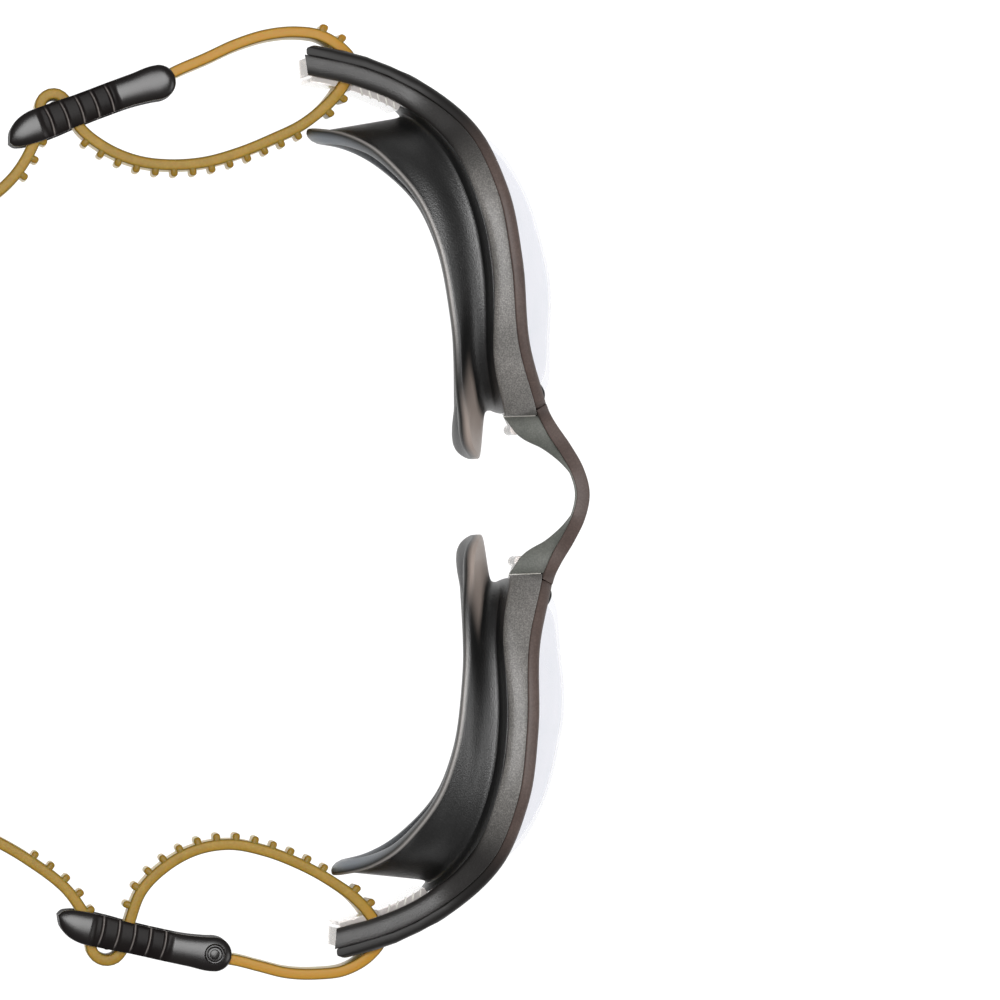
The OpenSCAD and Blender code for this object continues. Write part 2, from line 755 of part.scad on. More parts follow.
module left_lens() { color(clear) lens(); }
module right_lens() { mirror([1, 0, 0]) left_lens(); }
module left_lens_gasket() { color(black) lens_gasket(); }
module right_lens_gasket() { mirror([1, 0, 0]) left_lens_gasket(); }
module left_clear_frame() { color(clear) clear_frame(); }
module right_clear_frame() { mirror([1, 0, 0]) left_clear_frame(); }
module left_bezel() { color(brown) bezel(); }
module right_bezel() { mirror([1, 0, 0]) left_bezel(); }
module left_frame_cover() { color(grey) frame_cover(); }
module right_frame_cover() { mirror([1, 0, 0]) left_frame_cover(); }
module left_eye_seal() { color(black) eye_seal(); }
module right_eye_seal() { mirror([1, 0, 0]) left_eye_seal(); }
module left_strap_wrap() { color(gold) strap_wrap(left_side); }
module right_strap_wrap() { color(gold) mirror([1, 0, 0]) strap_wrap(right_side); }
module left_strap_end() { color(gold) strap_end(left_side); }
module right_strap_end() { color(gold) mirror([1, 0, 0]) strap_end(right_side); }
module left_strap_run() { color(gold) strap_run(left_side); }
module right_strap_run() { color(gold) mirror([1, 0, 0]) strap_run(right_side); }
module left_buckle() { color(black) buckle_place(left_side) mirror([0, 0, 1]) buckle(); }
module right_buckle() { color(black) mirror([1, 0, 0]) buckle_place(right_side) buckle(); }
module left_buckle_pin() { color(black) buckle_place(left_side) mirror([0, 0, 1]) buckle_pin(); }
module right_buckle_pin() { color(black) mirror([1, 0, 0]) buckle_place(right_side) buckle_pin(); }
module left_strap_turn() { color(gold) strap_turn(left_side); }
module right_strap_turn() { color(gold) mirror([1, 0, 0]) strap_turn(right_side); }

left_lens();
right_lens();
left_lens_gasket();
right_lens_gasket();
left_clear_frame();
right_clear_frame();
left_bezel();
right_bezel();
left_frame_cover();
right_frame_cover();
left_eye_seal();
right_eye_seal();
nose_bridge_band();
nose_bridge_web();
left_strap_wrap();
right_strap_wrap();
left_strap_end();
right_strap_end();
left_strap_run();
right_strap_run();
head_strap();
left_buckle();
right_buckle();
left_buckle_pin();
right_buckle_pin();
left_strap_turn();
right_strap_turn();
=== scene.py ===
"""Swimming goggles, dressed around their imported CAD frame.

Everything is worked out in millimetres in the part's own frame: +X is the
wearer's left, +Y points back to the head and +Z is up. The meshes are turned
to metres when a piece is finished.
"""

import sys
import logging
import math
from collections.abc import Callable, Iterable, Sequence
from dataclasses import dataclass
from enum import Enum

import bmesh
import bpy
from mathutils import Matrix, Vector


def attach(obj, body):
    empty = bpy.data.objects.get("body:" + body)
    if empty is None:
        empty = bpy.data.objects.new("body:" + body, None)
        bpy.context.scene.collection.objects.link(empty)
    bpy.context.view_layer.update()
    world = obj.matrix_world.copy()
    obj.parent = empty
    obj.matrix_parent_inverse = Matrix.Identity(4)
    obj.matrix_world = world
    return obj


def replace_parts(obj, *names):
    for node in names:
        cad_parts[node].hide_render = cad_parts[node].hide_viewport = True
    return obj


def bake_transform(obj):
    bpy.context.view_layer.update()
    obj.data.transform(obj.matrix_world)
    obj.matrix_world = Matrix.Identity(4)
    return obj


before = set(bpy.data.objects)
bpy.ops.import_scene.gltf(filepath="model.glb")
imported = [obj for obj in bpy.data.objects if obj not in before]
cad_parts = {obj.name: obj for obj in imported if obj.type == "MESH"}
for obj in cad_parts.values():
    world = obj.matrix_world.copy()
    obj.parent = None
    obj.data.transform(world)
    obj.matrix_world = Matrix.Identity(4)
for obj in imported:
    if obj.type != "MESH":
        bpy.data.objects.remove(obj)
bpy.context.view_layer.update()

LOG = logging.getLogger("goggles")
MM = 0.001
STEPS = 12

BODY_FRAME = "goggles_frame"
BODY_STRAP = "strap"

Pair = tuple[float, float]
Spot = Callable[[int, int], Vector]


class Side(Enum):
    """The two sides of the goggles, as the sign of X."""

    LEFT = 1
    RIGHT = -1

    @property
    def word(self) -> str:
        """The side's name in the names of pieces."""
        return self.name.lower()

    @property
    def buckle_body(self) -> str:
        """The CAD body of this side's buckle."""
        return f"{self.word}_buckle_set"


# ---------------------------------------------------------------- ways and heights


def mix(a: float, b: float, t: float) -> float:
    """Go part of the way between two values.

    Args:
        a: The first value.
        b: The second value.
        t: The share of the way.

    Returns:
        The value there.
    """
    return a + (b - a) * t


def ease(t: float) -> float:
    """A smooth step from 0 to 1."""
    t = min(max(t, 0.0), 1.0)
    return t * t * (3 - 2 * t)


def bump(x: float, width: float) -> float:
    """Raise a soft ridge of height 1 at 0.

    Args:
        x: The distance from its middle.
        width: The distance at which about a third of it is left.

    Returns:
        Its height.
    """
    return math.exp(-((x / width) ** 2))


def smooth(points: Sequence[Pair], steps: int = STEPS) -> list[Vector]:
    """Run a smooth curve through points whose distances differ.

    Args:
        points: The points to pass through.
        steps: Samples on each stretch.

    Returns:
        The samples, with the given points among them.
    """
    p = [Vector(q) for q in points]
    p = [2 * p[0] - p[1], *p, 2 * p[-1] - p[-2]]
    out = []
    for i in range(1, len(p) - 2):
        p0, p1, p2, p3 = p[i - 1 : i + 3]
        a, b, c = (p1 - p0).length, (p2 - p1).length, (p3 - p2).length
        m1 = b * ((p1 - p0) / a - (p2 - p0) / (a + b)) + p2 - p1
        m2 = b * ((p3 - p2) / c - (p3 - p1) / (b + c)) + p2 - p1
        for k in range(steps):
            t = k / steps
            out.append(
                (2 * t**3 - 3 * t**2 + 1) * p1
                + (t**3 - 2 * t**2 + t) * m1
                + (3 * t**2 - 2 * t**3) * p2
                + (t**3 - t**2) * m2
            )
    return [*out, p[-2]]


class Curve:
    """A smooth value over x, from a few pairs."""

    def __init__(self, pairs: Sequence[Pair]) -> None:
        """Keep the samples of the smooth curve through pairs."""
        self.samples = smooth(pairs)

    def __call__(self, x: float) -> float:
        """The value at x, level beyond the ends."""
        low, high = self.samples[0], self.samples[-1]
        if x <= low.x:
            return low.y
        if x >= high.x:
            return high.y
        for a, b in zip(self.samples, self.samples[1:]):
            if x <= b.x:
                return mix(a.y, b.y, (x - a.x) / (b.x - a.x))
        return high.y


class Way:
    """A smooth way seen from above, measured by its length."""

    def __init__(self, points: Sequence[Pair]) -> None:
        """Sample the way through points, with its lengths and directions."""
        self.points = smooth(points)
        self.lengths = [0.0]
        for a, b in zip(self.points, self.points[1:]):
            self.lengths.append(self.lengths[-1] + (b - a).length)
        last = len(self.points) - 1
        self.headings = [
            (self.points[min(i + 1, last)] - self.points[max(i - 1, 0)]).normalized()
            for i in range(last + 1)
        ]

    @property
    def length(self) -> float:
        """The length of the whole way."""
        return self.lengths[-1]

    def at_point(self, i: int) -> float:
        """The length at which the way passes its given point i."""
        return self.lengths[i * STEPS]

    def place(self, s: float, t: float = 0.0) -> Vector:
        """Find a point beside the way.

        Args:
            s: Length along the way; it runs on straight beyond the ends.
            t: Distance to the left of the way.

        Returns:
            The point seen from above.
        """
        i = max(0, min(len(self.lengths) - 2, self._before(s)))
        span = self.lengths[i + 1] - self.lengths[i]
        f = (s - self.lengths[i]) / span
        heading = self.headings[i].lerp(self.headings[i + 1], min(max(f, 0.0), 1.0)).normalized()
        spot = self.points[i] + (self.points[i + 1] - self.points[i]) * f
        return spot + t * Vector((-heading.y, heading.x))

    def s_at_x(self, x: float) -> float:
        """The length at which a way that grows in X reaches x."""
        for i, (a, b) in enumerate(zip(self.points, self.points[1:])):
            if x <= b.x or i == len(self.points) - 2:
                return self.lengths[i] + (b - a).length * (x - a.x) / (b.x - a.x)
        return self.length

    def _before(self, s: float) -> int:
        """The last sample at or before length s."""
        low, high = 0, len(self.lengths) - 1
        while high - low > 1:
            mid = (low + high) // 2
            if self.lengths[mid] <= s:
                low = mid
            else:
                high = mid
        return low


def oval(x: float, a: float, b: float, around: int, power: float = 2.4) -> list[Vector]:
    """Walk round an oval with flattened sides.

    Args:
        x: The middle of the oval; it is level with Z = 0.
        a: Half its width.
        b: Half its height.
        around: Number of points.
        power: 2 gives an ellipse, more gives flatter sides.

    Returns:
        The points as seen from the front, counterclockwise from the temple.
    """
    out = []
    for i in range(around):
        c, s = math.cos(math.tau * i / around), math.sin(math.tau * i / around)
        out.append(
            Vector(
                (
                    x + a * math.copysign(abs(c) ** (2 / power), c),
                    b * math.copysign(abs(s) ** (2 / power), s),
                )
            )
        )
    return out


# ---------------------------------------------------------------- sizes of the part


@dataclass(frozen=True)
class EyeSizes:
    """The sizes that the pieces of an eye frame share."""

    x_nose: float = 13.5
    eye_w: float = 53.0
    half_h: float = 21.0
    nose_set: float = 4.0
    brow_set: float = 9.6
    nose_t: float = 7.7
    brow_t: float = 5.2
    cover_w: float = 1.6
    bezel_t: float = 2.0
    bezel_w: float = 3.0
    arm_out: float = 10.9
    arm_back: float = 41.2
    arm_t: float = 5.3
    arm_h: float = 17.2
    arm_tip: float = 2.75
    end_slant: float = 0.38
    joint_x: float = 15.2
    end_rake: float = 0.15
    end_round: float = 0.8
    nose_lean: float = 0.14
    swell: float = 0.65
    swell_x: float = 40.0
    swell_w: float = 13.0
    swell_left: float = 0.35
    gap: float = 0.15

    @property
    def x_root(self) -> float:
        """Where the arm leaves the eye frame."""
        return self.x_nose + self.eye_w

    @property
    def x_tip(self) -> float:
        """The outer end of the arm."""
        return self.x_root + self.arm_out

    @property
    def turn_y(self) -> float:
        """Where the front turns into the arm."""
        return self.brow_set + 5.4

    @property
    def open_x(self) -> float:
        """The middle of the lens opening."""
        return self.x_nose + 0.49 * self.eye_w

    @property
    def open_a(self) -> float:
        """Half the width of the lens opening."""
        return self.eye_w / 2 - 2.9

    @property
    def open_b(self) -> float:
        """Half the height of the lens opening."""
        return self.half_h - self.bezel_w


EYE = EyeSizes()

FRONT = Way(
    [
        (EYE.x_nose, EYE.nose_set), (EYE.x_nose + 0.22 * EYE.eye_w, EYE.brow_set - 1.6),
        (EYE.x_nose + 0.5 * EYE.eye_w, EYE.brow_set), (EYE.x_nose + 0.73 * EYE.eye_w, EYE.brow_set + 1.6),
        (EYE.x_nose + 0.925 * EYE.eye_w, EYE.turn_y),
        (EYE.x_root + 0.35 * EYE.arm_out, mix(EYE.turn_y, EYE.arm_back, 0.306)),
        (EYE.x_root + 0.85 * EYE.arm_out, mix(EYE.turn_y, EYE.arm_back, 0.745)),
        (EYE.x_tip, EYE.arm_back),
    ]
)

# Half heights of the frame over X, as seen from the front
OUTLINE = Curve(
    [
        (EYE.x_nose, 0.405 * EYE.half_h), (EYE.x_nose + 0.03 * EYE.eye_w, 0.55 * EYE.half_h),
        (EYE.x_nose + 0.12 * EYE.eye_w, 0.76 * EYE.half_h),
        (EYE.x_nose + 0.27 * EYE.eye_w, 0.93 * EYE.half_h), (EYE.x_nose + 0.5 * EYE.eye_w, EYE.half_h),
        (EYE.x_nose + 0.73 * EYE.eye_w, 0.945 * EYE.half_h),
        (EYE.x_nose + 0.88 * EYE.eye_w, 0.75 * EYE.half_h),
        (EYE.x_root, max(0.56 * EYE.half_h, EYE.arm_h / 2 + 1)),
        (EYE.x_root + 0.4 * EYE.arm_out, EYE.arm_h / 2 + 0.6),
        (EYE.x_root + 0.8 * EYE.arm_out, EYE.arm_h / 2 + 0.2),
        (EYE.x_tip + EYE.arm_tip, EYE.arm_h / 2),
    ]
)


def back_depth() -> Curve:
    """The depth of the frame behind its front, over X."""
    arm = [FRONT.place(FRONT.at_point(i), EYE.arm_t) for i in (5, 6, 7)]
    back = smooth(
        [
            (EYE.x_nose, EYE.nose_set + EYE.nose_t),
            (EYE.x_nose + 0.12 * EYE.eye_w, EYE.brow_set + EYE.brow_t - 1.2),
            (EYE.x_nose + 0.31 * EYE.eye_w, EYE.brow_set + EYE.brow_t - 0.5),
            (EYE.x_nose + 0.54 * EYE.eye_w, EYE.brow_set + EYE.brow_t),
            (EYE.x_nose + 0.69 * EYE.eye_w, EYE.brow_set + EYE.brow_t + 1.6),
            (EYE.x_nose + 0.883 * EYE.eye_w, EYE.brow_set + EYE.brow_t + 6),
            *[(p.x, p.y) for p in arm],
        ]
    )
    pairs = []
    for p in back:
        s = 0.0
        for _ in range(40):
            here = FRONT.place(s)
            ahead = FRONT.place(s + 0.01) - here
            s += (p - here).dot(ahead.normalized())
        pairs.append((s, (p - FRONT.place(s)).length))
    pairs = [q for i, q in enumerate(pairs) if i % STEPS == 0]
    return Curve(pairs)


# Depth of the frame over the length of its front
DEPTH = back_depth()
PIVOT_Y = EYE.arm_back - 2.5


# ---------------------------------------------------------------- mesh helpers


def grid(columns: int, rows: int, spot: Spot) -> bmesh.types.BMesh:
    """Make a grid and move each of its corners to its place.

    Args:
        columns: Faces along the piece.
        rows: Faces across it.
        spot: Gives the place of a corner from its column and row.

    Returns:
        The grid, with corners that fall together merged.
    """
    bm = bmesh.new()
    bmesh.ops.create_grid(bm, x_segments=columns, y_segments=rows, size=0.5)
    for v in bm.verts:
        v.co = spot(round((v.co.x + 0.5) * columns), round((v.co.y + 0.5) * rows))
    bmesh.ops.remove_doubles(bm, verts=bm.verts, dist=1e-4)
    return bm


def loft(sections: Sequence[Sequence[Vector]], closed: bool = False) -> bmesh.types.BMesh:
    """Skin closed cross-sections of equal length into one solid.

    Args:
        sections: The cross-sections in order.
        closed: Whether the last section joins the first; otherwise both ends get a cap.

    Returns:
        The skinned solid.
    """
    count, rows = len(sections), len(sections[0])
    columns = count if closed else count - 1
    bm = grid(columns, rows, lambda i, j: sections[i % count][j % rows])
    if not closed:
        bmesh.ops.holes_fill(bm, edges=[e for e in bm.edges if e.is_boundary], sides=0)
    return bm


def round_edges(
    bm: bmesh.types.BMesh, radius: float, angle: float = 50.0, segments: int = 3, where: Callable | None = None
) -> None:
    """Round the sharp edges of a mesh.

    Args:
        bm: The mesh.
        radius: How far the rounding reaches from the edge.
        angle: Edges sharper than this many degrees are rounded.
        segments: Faces across the rounding.
        where: Keeps only the edges for which it is true, by their middle.
    """
    bm.normal_update()
    sharp = []
    for e in bm.edges:
        if len(e.link_faces) == 2 and math.degrees(e.calc_face_angle(0.0)) > angle:
            if where is None or where((e.verts[0].co + e.verts[1].co) / 2):
                sharp.append(e)
    if sharp:
        bmesh.ops.bevel(
            bm,
            geom=sharp,
            offset=radius,
            offset_type="OFFSET",
            segments=segments,
            profile=0.5,
            affect="EDGES",
            clamp_overlap=True,
            material=-1,
        )


def box_at(low: Sequence[float], high: Sequence[float], radius: float, segments: int = 3) -> bmesh.types.BMesh:
    """Make a box between two corners with rounded edges.

    Args:
        low: The lowest corner.
        high: The highest corner.
        radius: The rounding of its edges.
        segments: Faces across the rounding.

    Returns:
        The box.
    """
    bm = bmesh.new()
    bmesh.ops.create_cube(bm, size=1.0)
    a, b = Vector(low), Vector(high)
    bmesh.ops.scale(bm, vec=b - a, verts=bm.verts)
    bmesh.ops.translate(bm, vec=(a + b) / 2, verts=bm.verts)
    if radius > 0:
        round_edges(bm, radius, segments=segments)
    return bm


def rod(radius: float, low: float, high: float, spot: Pair, rounding: float) -> bmesh.types.BMesh:
    """Make an upright rod with rounded rims.

    Args:
        radius: Its radius.
        low: The height of its lower end.
        high: The height of its upper end.
        spot: Its place seen from above.
        rounding: The rounding of its rims.

    Returns:
        The rod.
    """
    bm = bmesh.new()
    bmesh.ops.create_cone(
        bm, cap_ends=True, cap_tris=False, segments=40, radius1=radius, radius2=radius, depth=high - low
    )
    bmesh.ops.translate(bm, vec=(spot[0], spot[1], (low + high) / 2), verts=bm.verts)
    round_edges(bm, rounding, angle=60)
    return bm


def join(target: bmesh.types.BMesh, other: bmesh.types.BMesh) -> None:
    """Add a mesh to another one.

    Args:
        target: The mesh that grows.
        other: The mesh to add, which is freed.
    """
    mesh = bpy.data.meshes.new("joined")
    other.to_mesh(mesh)
    other.free()
    target.from_mesh(mesh)
    bpy.data.meshes.remove(mesh)


def turned(profile: Sequence[Pair], steps: int) -> bmesh.types.BMesh:
    """Turn a closed profile about the Z axis.

    Args:
        profile: The radius and height of each of its corners.
        steps: Faces round the axis.

    Returns:
        The ring.
    """
    bm = bmesh.new()
    verts = [bm.verts.new((r, 0, z)) for r, z in profile]
    edges = [bm.edges.new((verts[i], verts[(i + 1) % len(verts)])) for i in range(len(verts))]
    bmesh.ops.spin(
        bm, geom=[*verts, *edges], cent=(0, 0, 0), axis=(0, 0, 1), angle=math.tau, steps=steps, use_merge=True
    )
    bmesh.ops.remove_doubles(bm, verts=bm.verts, dist=1e-4)
    return bm


def mark(bm: bmesh.types.BMesh, name: str, value: Callable[[Vector], float]) -> None:
    """Keep a value of every point in an attribute that a finish reads.

    Args:
        bm: The mesh.
        name: The attribute's name.
        value: Gives the value at a place.
    """
    layer = bm.verts.layers.float.new(name)
    for v in bm.verts:
        v[layer] = value(v.co)


def add_object(name: str, data: bpy.types.ID) -> bpy.types.Object:
    """Add an object to the scene.

    Args:
        name: Its name.
        data: Its mesh, light or camera.

    Returns:
        The object.
    """
    obj = bpy.data.objects.new(name, data)
    bpy.context.scene.collection.objects.link(obj)
    return obj


def swell(x: float, t: float) -> float:
    """Tell how far the middle of an eye frame bulges forward.

    Args:
        x: The place across the frame.
        t: The depth behind its front; the bulge gets less towards the back.

    Returns:
        The bulge.
    """
    deep = min(1.0, max(0.0, t / 7))
    return EYE.swell * bump(abs(x) - EYE.swell_x, EYE.swell_w) * mix(1.0, EYE.swell_left, deep)


def bend(bm: bmesh.types.BMesh, way: Way, least_x: float | None = None) -> None:
    """Bend a straight mesh along a way: X is length along it, Y lies to its left.

    Args:
        bm: The straight mesh.
        way: The way.
        least_x: Points that would come to a smaller X slide along the way up to it.
    """
    for v in bm.verts:
        spot = way.place(v.co.x, v.co.y)
        s = v.co.x
        while least_x is not None and spot.x < least_x - 1e-4:
            s += least_x - spot.x
            spot = way.place(s, v.co.y)
        bulge = swell(spot.x, v.co.y) if way is FRONT else 0.0
        v.co = Vector((spot.x, spot.y - bulge, v.co.z))


def slant_end(bm: bmesh.types.BMesh) -> None:
    """Slant the end of the arm of a straight mesh.

    Its outside reaches furthest back and has a rounded corner. The end is raked, so that its lower half
    reaches less far.
    """
    for v in bm.verts:
        near = ease((v.co.x - FRONT.length + 1.4) / 2.4)
        corner = EYE.end_round * max(0.0, 1 - v.co.y / 1.7) ** 2
        rake = EYE.end_rake * max(0.0, 8.2 - v.co.z)
        v.co.x -= near * (EYE.end_slant * v.co.y + rake + corner)


def lean_nose(bm: bmesh.types.BMesh) -> None:
    """Lean the back of a piece forward at the nose, more the lower it lies."""
    for v in bm.verts:
        near = ease((EYE.x_nose + 3.5 - v.co.x) / 2.5)
        behind = min(1.0, max(0.0, (v.co.y - 6.5) / 4))
        v.co.y -= near * EYE.nose_lean * max(0.0, 8.0 - v.co.z) * behind


def finish_piece(
    name: str,
    bm: bmesh.types.BMesh,
    material: bpy.types.Material,
    side: Side = Side.LEFT,
    sharp: float = 38.0,
    subdivide: int = 0,
) -> bpy.types.Object:
    """Turn a mesh in millimetres into a named object in metres.

    Args:
        name: The piece's name.
        bm: Its mesh, which is freed.
        material: Its finish.
        side: The right side is the mirror image of what is drawn.
        sharp: Edges sharper than this many degrees stay sharp.
        subdivide: Levels of a subdivision surface.

    Returns:
        The object, not yet on a body.
    """
    if side is Side.RIGHT:
        bmesh.ops.scale(bm, vec=(-1, 1, 1), verts=bm.verts)
    bmesh.ops.scale(bm, vec=(MM, MM, MM), verts=bm.verts)
    bmesh.ops.recalc_face_normals(bm, faces=bm.faces)
    mesh = bpy.data.meshes.new(name)
    bm.to_mesh(mesh)
    bm.free()
    mesh.shade_smooth()
    mesh.set_sharp_from_angle(angle=math.radians(sharp))
    mesh.materials.append(material)
    obj = add_object(name, mesh)
    if subdivide:
        modifier = obj.modifiers.new("Subdivision", "SUBSURF")
        modifier.levels = modifier.render_levels = subdivide
    LOG.info("%s: %d faces", name, len(mesh.polygons))
    return obj


# ---------------------------------------------------------------- finishes


def colour(code: str) -> tuple[float, float, float, float]:
    """Turn an sRGB hex colour into linear values."""
    values = [int(code[i : i + 2], 16) / 255 for i in (1, 3, 5)]
    linear = [v / 12.92 if v <= 0.04045 else ((v + 0.055) / 1.055) ** 2.4 for v in values]
    return (*linear, 1.0)


def add_node(tree: bpy.types.NodeTree, kind: str, settings: dict | None = None, **links: object) -> bpy.types.Node:
    """Add a node with its settings and links.

    Args:
        tree: The node tree.
        kind: The node's type.
        settings: Properties and plain socket values, by name or socket number.
        links: Output sockets that feed the inputs of these names, spaces as underscores.

    Returns:
        The node.
    """
    node = tree.nodes.new(kind)
    for key, value in (settings or {}).items():
        if isinstance(key, int) or key in node.inputs:
            node.inputs[key].default_value = value
        else:
            setattr(node, key, value)
    for key, socket in links.items():
        index = int(key[1:]) if key[0] == "i" and key[1:].isdigit() else key.replace("_", " ")
        tree.links.new(socket, node.inputs[index])
    return node


def ramp(node: bpy.types.Node, stops: Iterable[tuple[float, str]]) -> None:
    """Set the stops of a colour ramp.

    Args:
        node: The ramp's node.
        stops: The place and the hex colour of each stop.
    """
    stops = list(stops)
    elements = node.color_ramp.elements
    while len(elements) < len(stops):
        elements.new(0.5)
    for element, (place, code) in zip(elements, stops):
        element.position = place
        element.color = colour(code)


@dataclass(frozen=True)
class Finish:
    """A moulded surface: a colour with mottling, a fine grain and a gloss."""

    name: str
    dark: str
    light: str
    roughness: float
    grain_mm: float = 0.3
    grain_depth: float = 0.0
    speck: float = 0.0
    mottle_mm: float = 6.0
    ior: float = 1.5
    coat: float = 0.0
    subsurface: float = 0.0
    subsurface_mm: float = 1.0
    transmission: float = 0.0
    specular: float = 0.5
    marks: tuple[tuple[str, str], ...] = ()
    matt: str = ""

    def make(self) -> bpy.types.Material:
        """Build the material from its nodes."""
        material = bpy.data.materials.new(self.name)
        material.use_nodes = True
        tree = material.node_tree
        tree.nodes.clear()
        place = add_node(tree, "ShaderNodeTexCoord").outputs["Object"]
        mottle = add_node(
            tree,
            "ShaderNodeTexNoise",
            {"Scale": 1000 / self.mottle_mm, "Detail": 3.0, "Roughness": 0.55},
            Vector=place,
        )
        grain = add_node(
            tree,
            "ShaderNodeTexNoise",
            {"Scale": 1000 / self.grain_mm, "Detail": 2.0, "Roughness": 0.6},
            Vector=place,
        )
        tone = add_node(tree, "ShaderNodeValToRGB", None, Fac=mottle.outputs["Fac"])
        ramp(tone, [(0.3, self.dark), (0.7, self.light)])
        shade = tone.outputs["Color"]
        if self.speck:
            fleck = add_node(
                tree,
                "ShaderNodeMapRange",
                {"From Min": 0.42, "From Max": 0.68, "To Min": 1 - self.speck, "To Max": 1 + self.speck},
                Value=grain.outputs["Fac"],
            )
            shade = add_node(
                tree,
                "ShaderNodeVectorMath",
                {"operation": "MULTIPLY"},
                i0=shade,
                i1=fleck.outputs["Result"],
            ).outputs["Vector"]
        # Each mark blends in a colour where its attribute is set; most marks paint in light or shade
        for attribute, code in self.marks:
            edge = add_node(tree, "ShaderNodeAttribute", {"attribute_name": attribute})
            blend = add_node(
                tree,
                "ShaderNodeMix",
                {"data_type": "RGBA"},
                i0=edge.outputs["Fac"],
                i6=shade,
            )
            blend.inputs[7].default_value = colour(code)
            shade = blend.outputs[2]
        gloss = add_node(
            tree,
            "ShaderNodeMapRange",
            {"To Min": self.roughness * 0.88, "To Max": min(1.0, self.roughness * 1.12)},
            Value=mottle.outputs["Fac"],
        )
        shader = add_node(
            tree,
            "ShaderNodeBsdfPrincipled",
            {
                "IOR": self.ior,
                "Coat Weight": self.coat,
                "Coat Roughness": 0.12,
                "Specular IOR Level": self.specular,
                "Subsurface Weight": self.subsurface,
                "Subsurface Scale": self.subsurface_mm * MM,
                "Transmission Weight": self.transmission,
            },
            Base_Color=shade,
            Roughness=gloss.outputs["Result"],
        )
        if self.matt:
            dull = add_node(tree, "ShaderNodeAttribute", {"attribute_name": self.matt})
            level = add_node(
                tree,
                "ShaderNodeMapRange",
                {"To Min": self.specular, "To Max": self.specular * 0.12},
                Value=dull.outputs["Fac"],
            )
            tree.links.new(level.outputs["Result"], shader.inputs["Specular IOR Level"])
        if self.grain_depth:
            relief = add_node(
                tree,
                "ShaderNodeBump",
                {"Strength": 1.0, "Distance": self.grain_depth * MM},
                Height=grain.outputs["Fac"],
            )
            tree.links.new(relief.outputs["Normal"], shader.inputs["Normal"])
        add_node(tree, "ShaderNodeOutputMaterial", None, Surface=shader.outputs["BSDF"])
        return material


# Clear injection-moulded polycarbonate, polished and so thin that light hardly bends in it
CLEAR_LENS = Finish("polished_clear_polycarbonate", "#eff0f3", "#f2f2f5", 0.0, ior=1.003, transmission=1.0)
# The same plastic as moulded: milkier, with a warm tint
CLEAR_FRAME = Finish("moulded_clear_polycarbonate", "#f4ece8", "#fbf6f3", 0.16, ior=1.16, transmission=0.7)
# Its bare edge between two soft parts, where it catches the light
CLEAR_SEAM = Finish("bare_polycarbonate_edge", "#a5a29b", "#bdbab3", 0.25, grain_mm=0.2, speck=0.1)
# Soft thermoplastic rubber over the front, semi-matt and brown, with painted shade that darkens it where it wraps the
# arms
BEZEL_RUBBER = Finish(
    "moulded_brown_tpr",
    "#4a3e3a",
    "#564944",
    0.5,
    grain_mm=0.35,
    grain_depth=0.012,
    speck=0.12,
    specular=0.3,
    marks=(("arm", "#151312"),),
)
# The same rubber in the cover, with the fine grit of a spark-eroded mould that scatters the light; its grey is partly
# a painted sheen, and painted shade darkens it on the arms
COVER_RUBBER = Finish(
    "grained_grey_tpr",
    "#63615e",
    "#75726f",
    0.42,
    grain_mm=0.24,
    grain_depth=0.05,
    speck=0.35,
    marks=(("arm", "#211f1e"),),
)
# Soft rubber of the nose web, greenish grey
WEB_RUBBER = Finish(
    "moulded_green_grey_tpr", "#565853", "#656661", 0.45, grain_mm=0.3, grain_depth=0.02, speck=0.15
)
# Soft black silicone of the eye seals, satin with a fine grain, with painted highlights on its lip edges and on its
# flared lips at the nose, and a painted reflection on the backs of its lips at the temples
SEAL_SILICONE = Finish(
    "satin_black_silicone",
    "#0a0a0a",
    "#111111",
    0.42,
    grain_mm=0.28,
    grain_depth=0.06,
    speck=0.4,
    specular=0.75,
    marks=(("flange_highlight", "#a0938b"), ("lip_edge_highlight", "#8f8b88"), ("temple", "#6f757c")),
)
# Black rubber of the lens gaskets, matt
GASKET_RUBBER = Finish("matt_black_rubber", "#0e0e0f", "#151516", 0.6, grain_mm=0.3, grain_depth=0.01)
# Translucent silicone rubber of the strap, moulded: light glows inside it. Painted shade darkens its long edges,
# painted light that shows through makes its thin wide faces paler, and its outer stretches are painted warmer
STRAP_SILICONE = Finish(
    "moulded_ochre_silicone",
    "#8a6d22",
    "#99792d",
    0.34,
    grain_mm=0.5,
    grain_depth=0.01,
    speck=0.05,
    mottle_mm=4.0,
    ior=1.41,
    subsurface=0.25,
    subsurface_mm=0.8,
    specular=0.15,
    marks=(("outer_stretch", "#a87c2b"), ("wide", "#c6b070"), ("rim", "#5d4810")),
)
# Glossy black polyoxymethylene of the buckles, injection-moulded: matt in the sunk field of the
# grip, with a painted highlight along the crests of its ribs
BUCKLE_PLASTIC = Finish(
    "glossy_black_pom",
    "#131010",
    "#1a1716",
    0.26,
    grain_mm=0.6,
    specular=0.34,
    marks=(("crest", "#7d7673"),),
    matt="sunk",
)
# The same plastic in the pins
PIN_PLASTIC = Finish("glossy_black_pin_pom", "#100e0e", "#171514", 0.24, grain_mm=0.6, specular=0.3)


class Palette:
    """The finishes of the goggles as materials, made once."""

    def __init__(self) -> None:
        """Make every material."""
        self.lens = CLEAR_LENS.make()
        self.clear = CLEAR_FRAME.make()
        self.seam = CLEAR_SEAM.make()
        self.bezel = BEZEL_RUBBER.make()
        self.cover = COVER_RUBBER.make()
        self.web = WEB_RUBBER.make()
        self.seal = SEAL_SILICONE.make()
        self.gasket = GASKET_RUBBER.make()
        self.strap = STRAP_SILICONE.make()
        self.buckle = BUCKLE_PLASTIC.make()
        self.pin = PIN_PLASTIC.make()


# ---------------------------------------------------------------- the eye frames


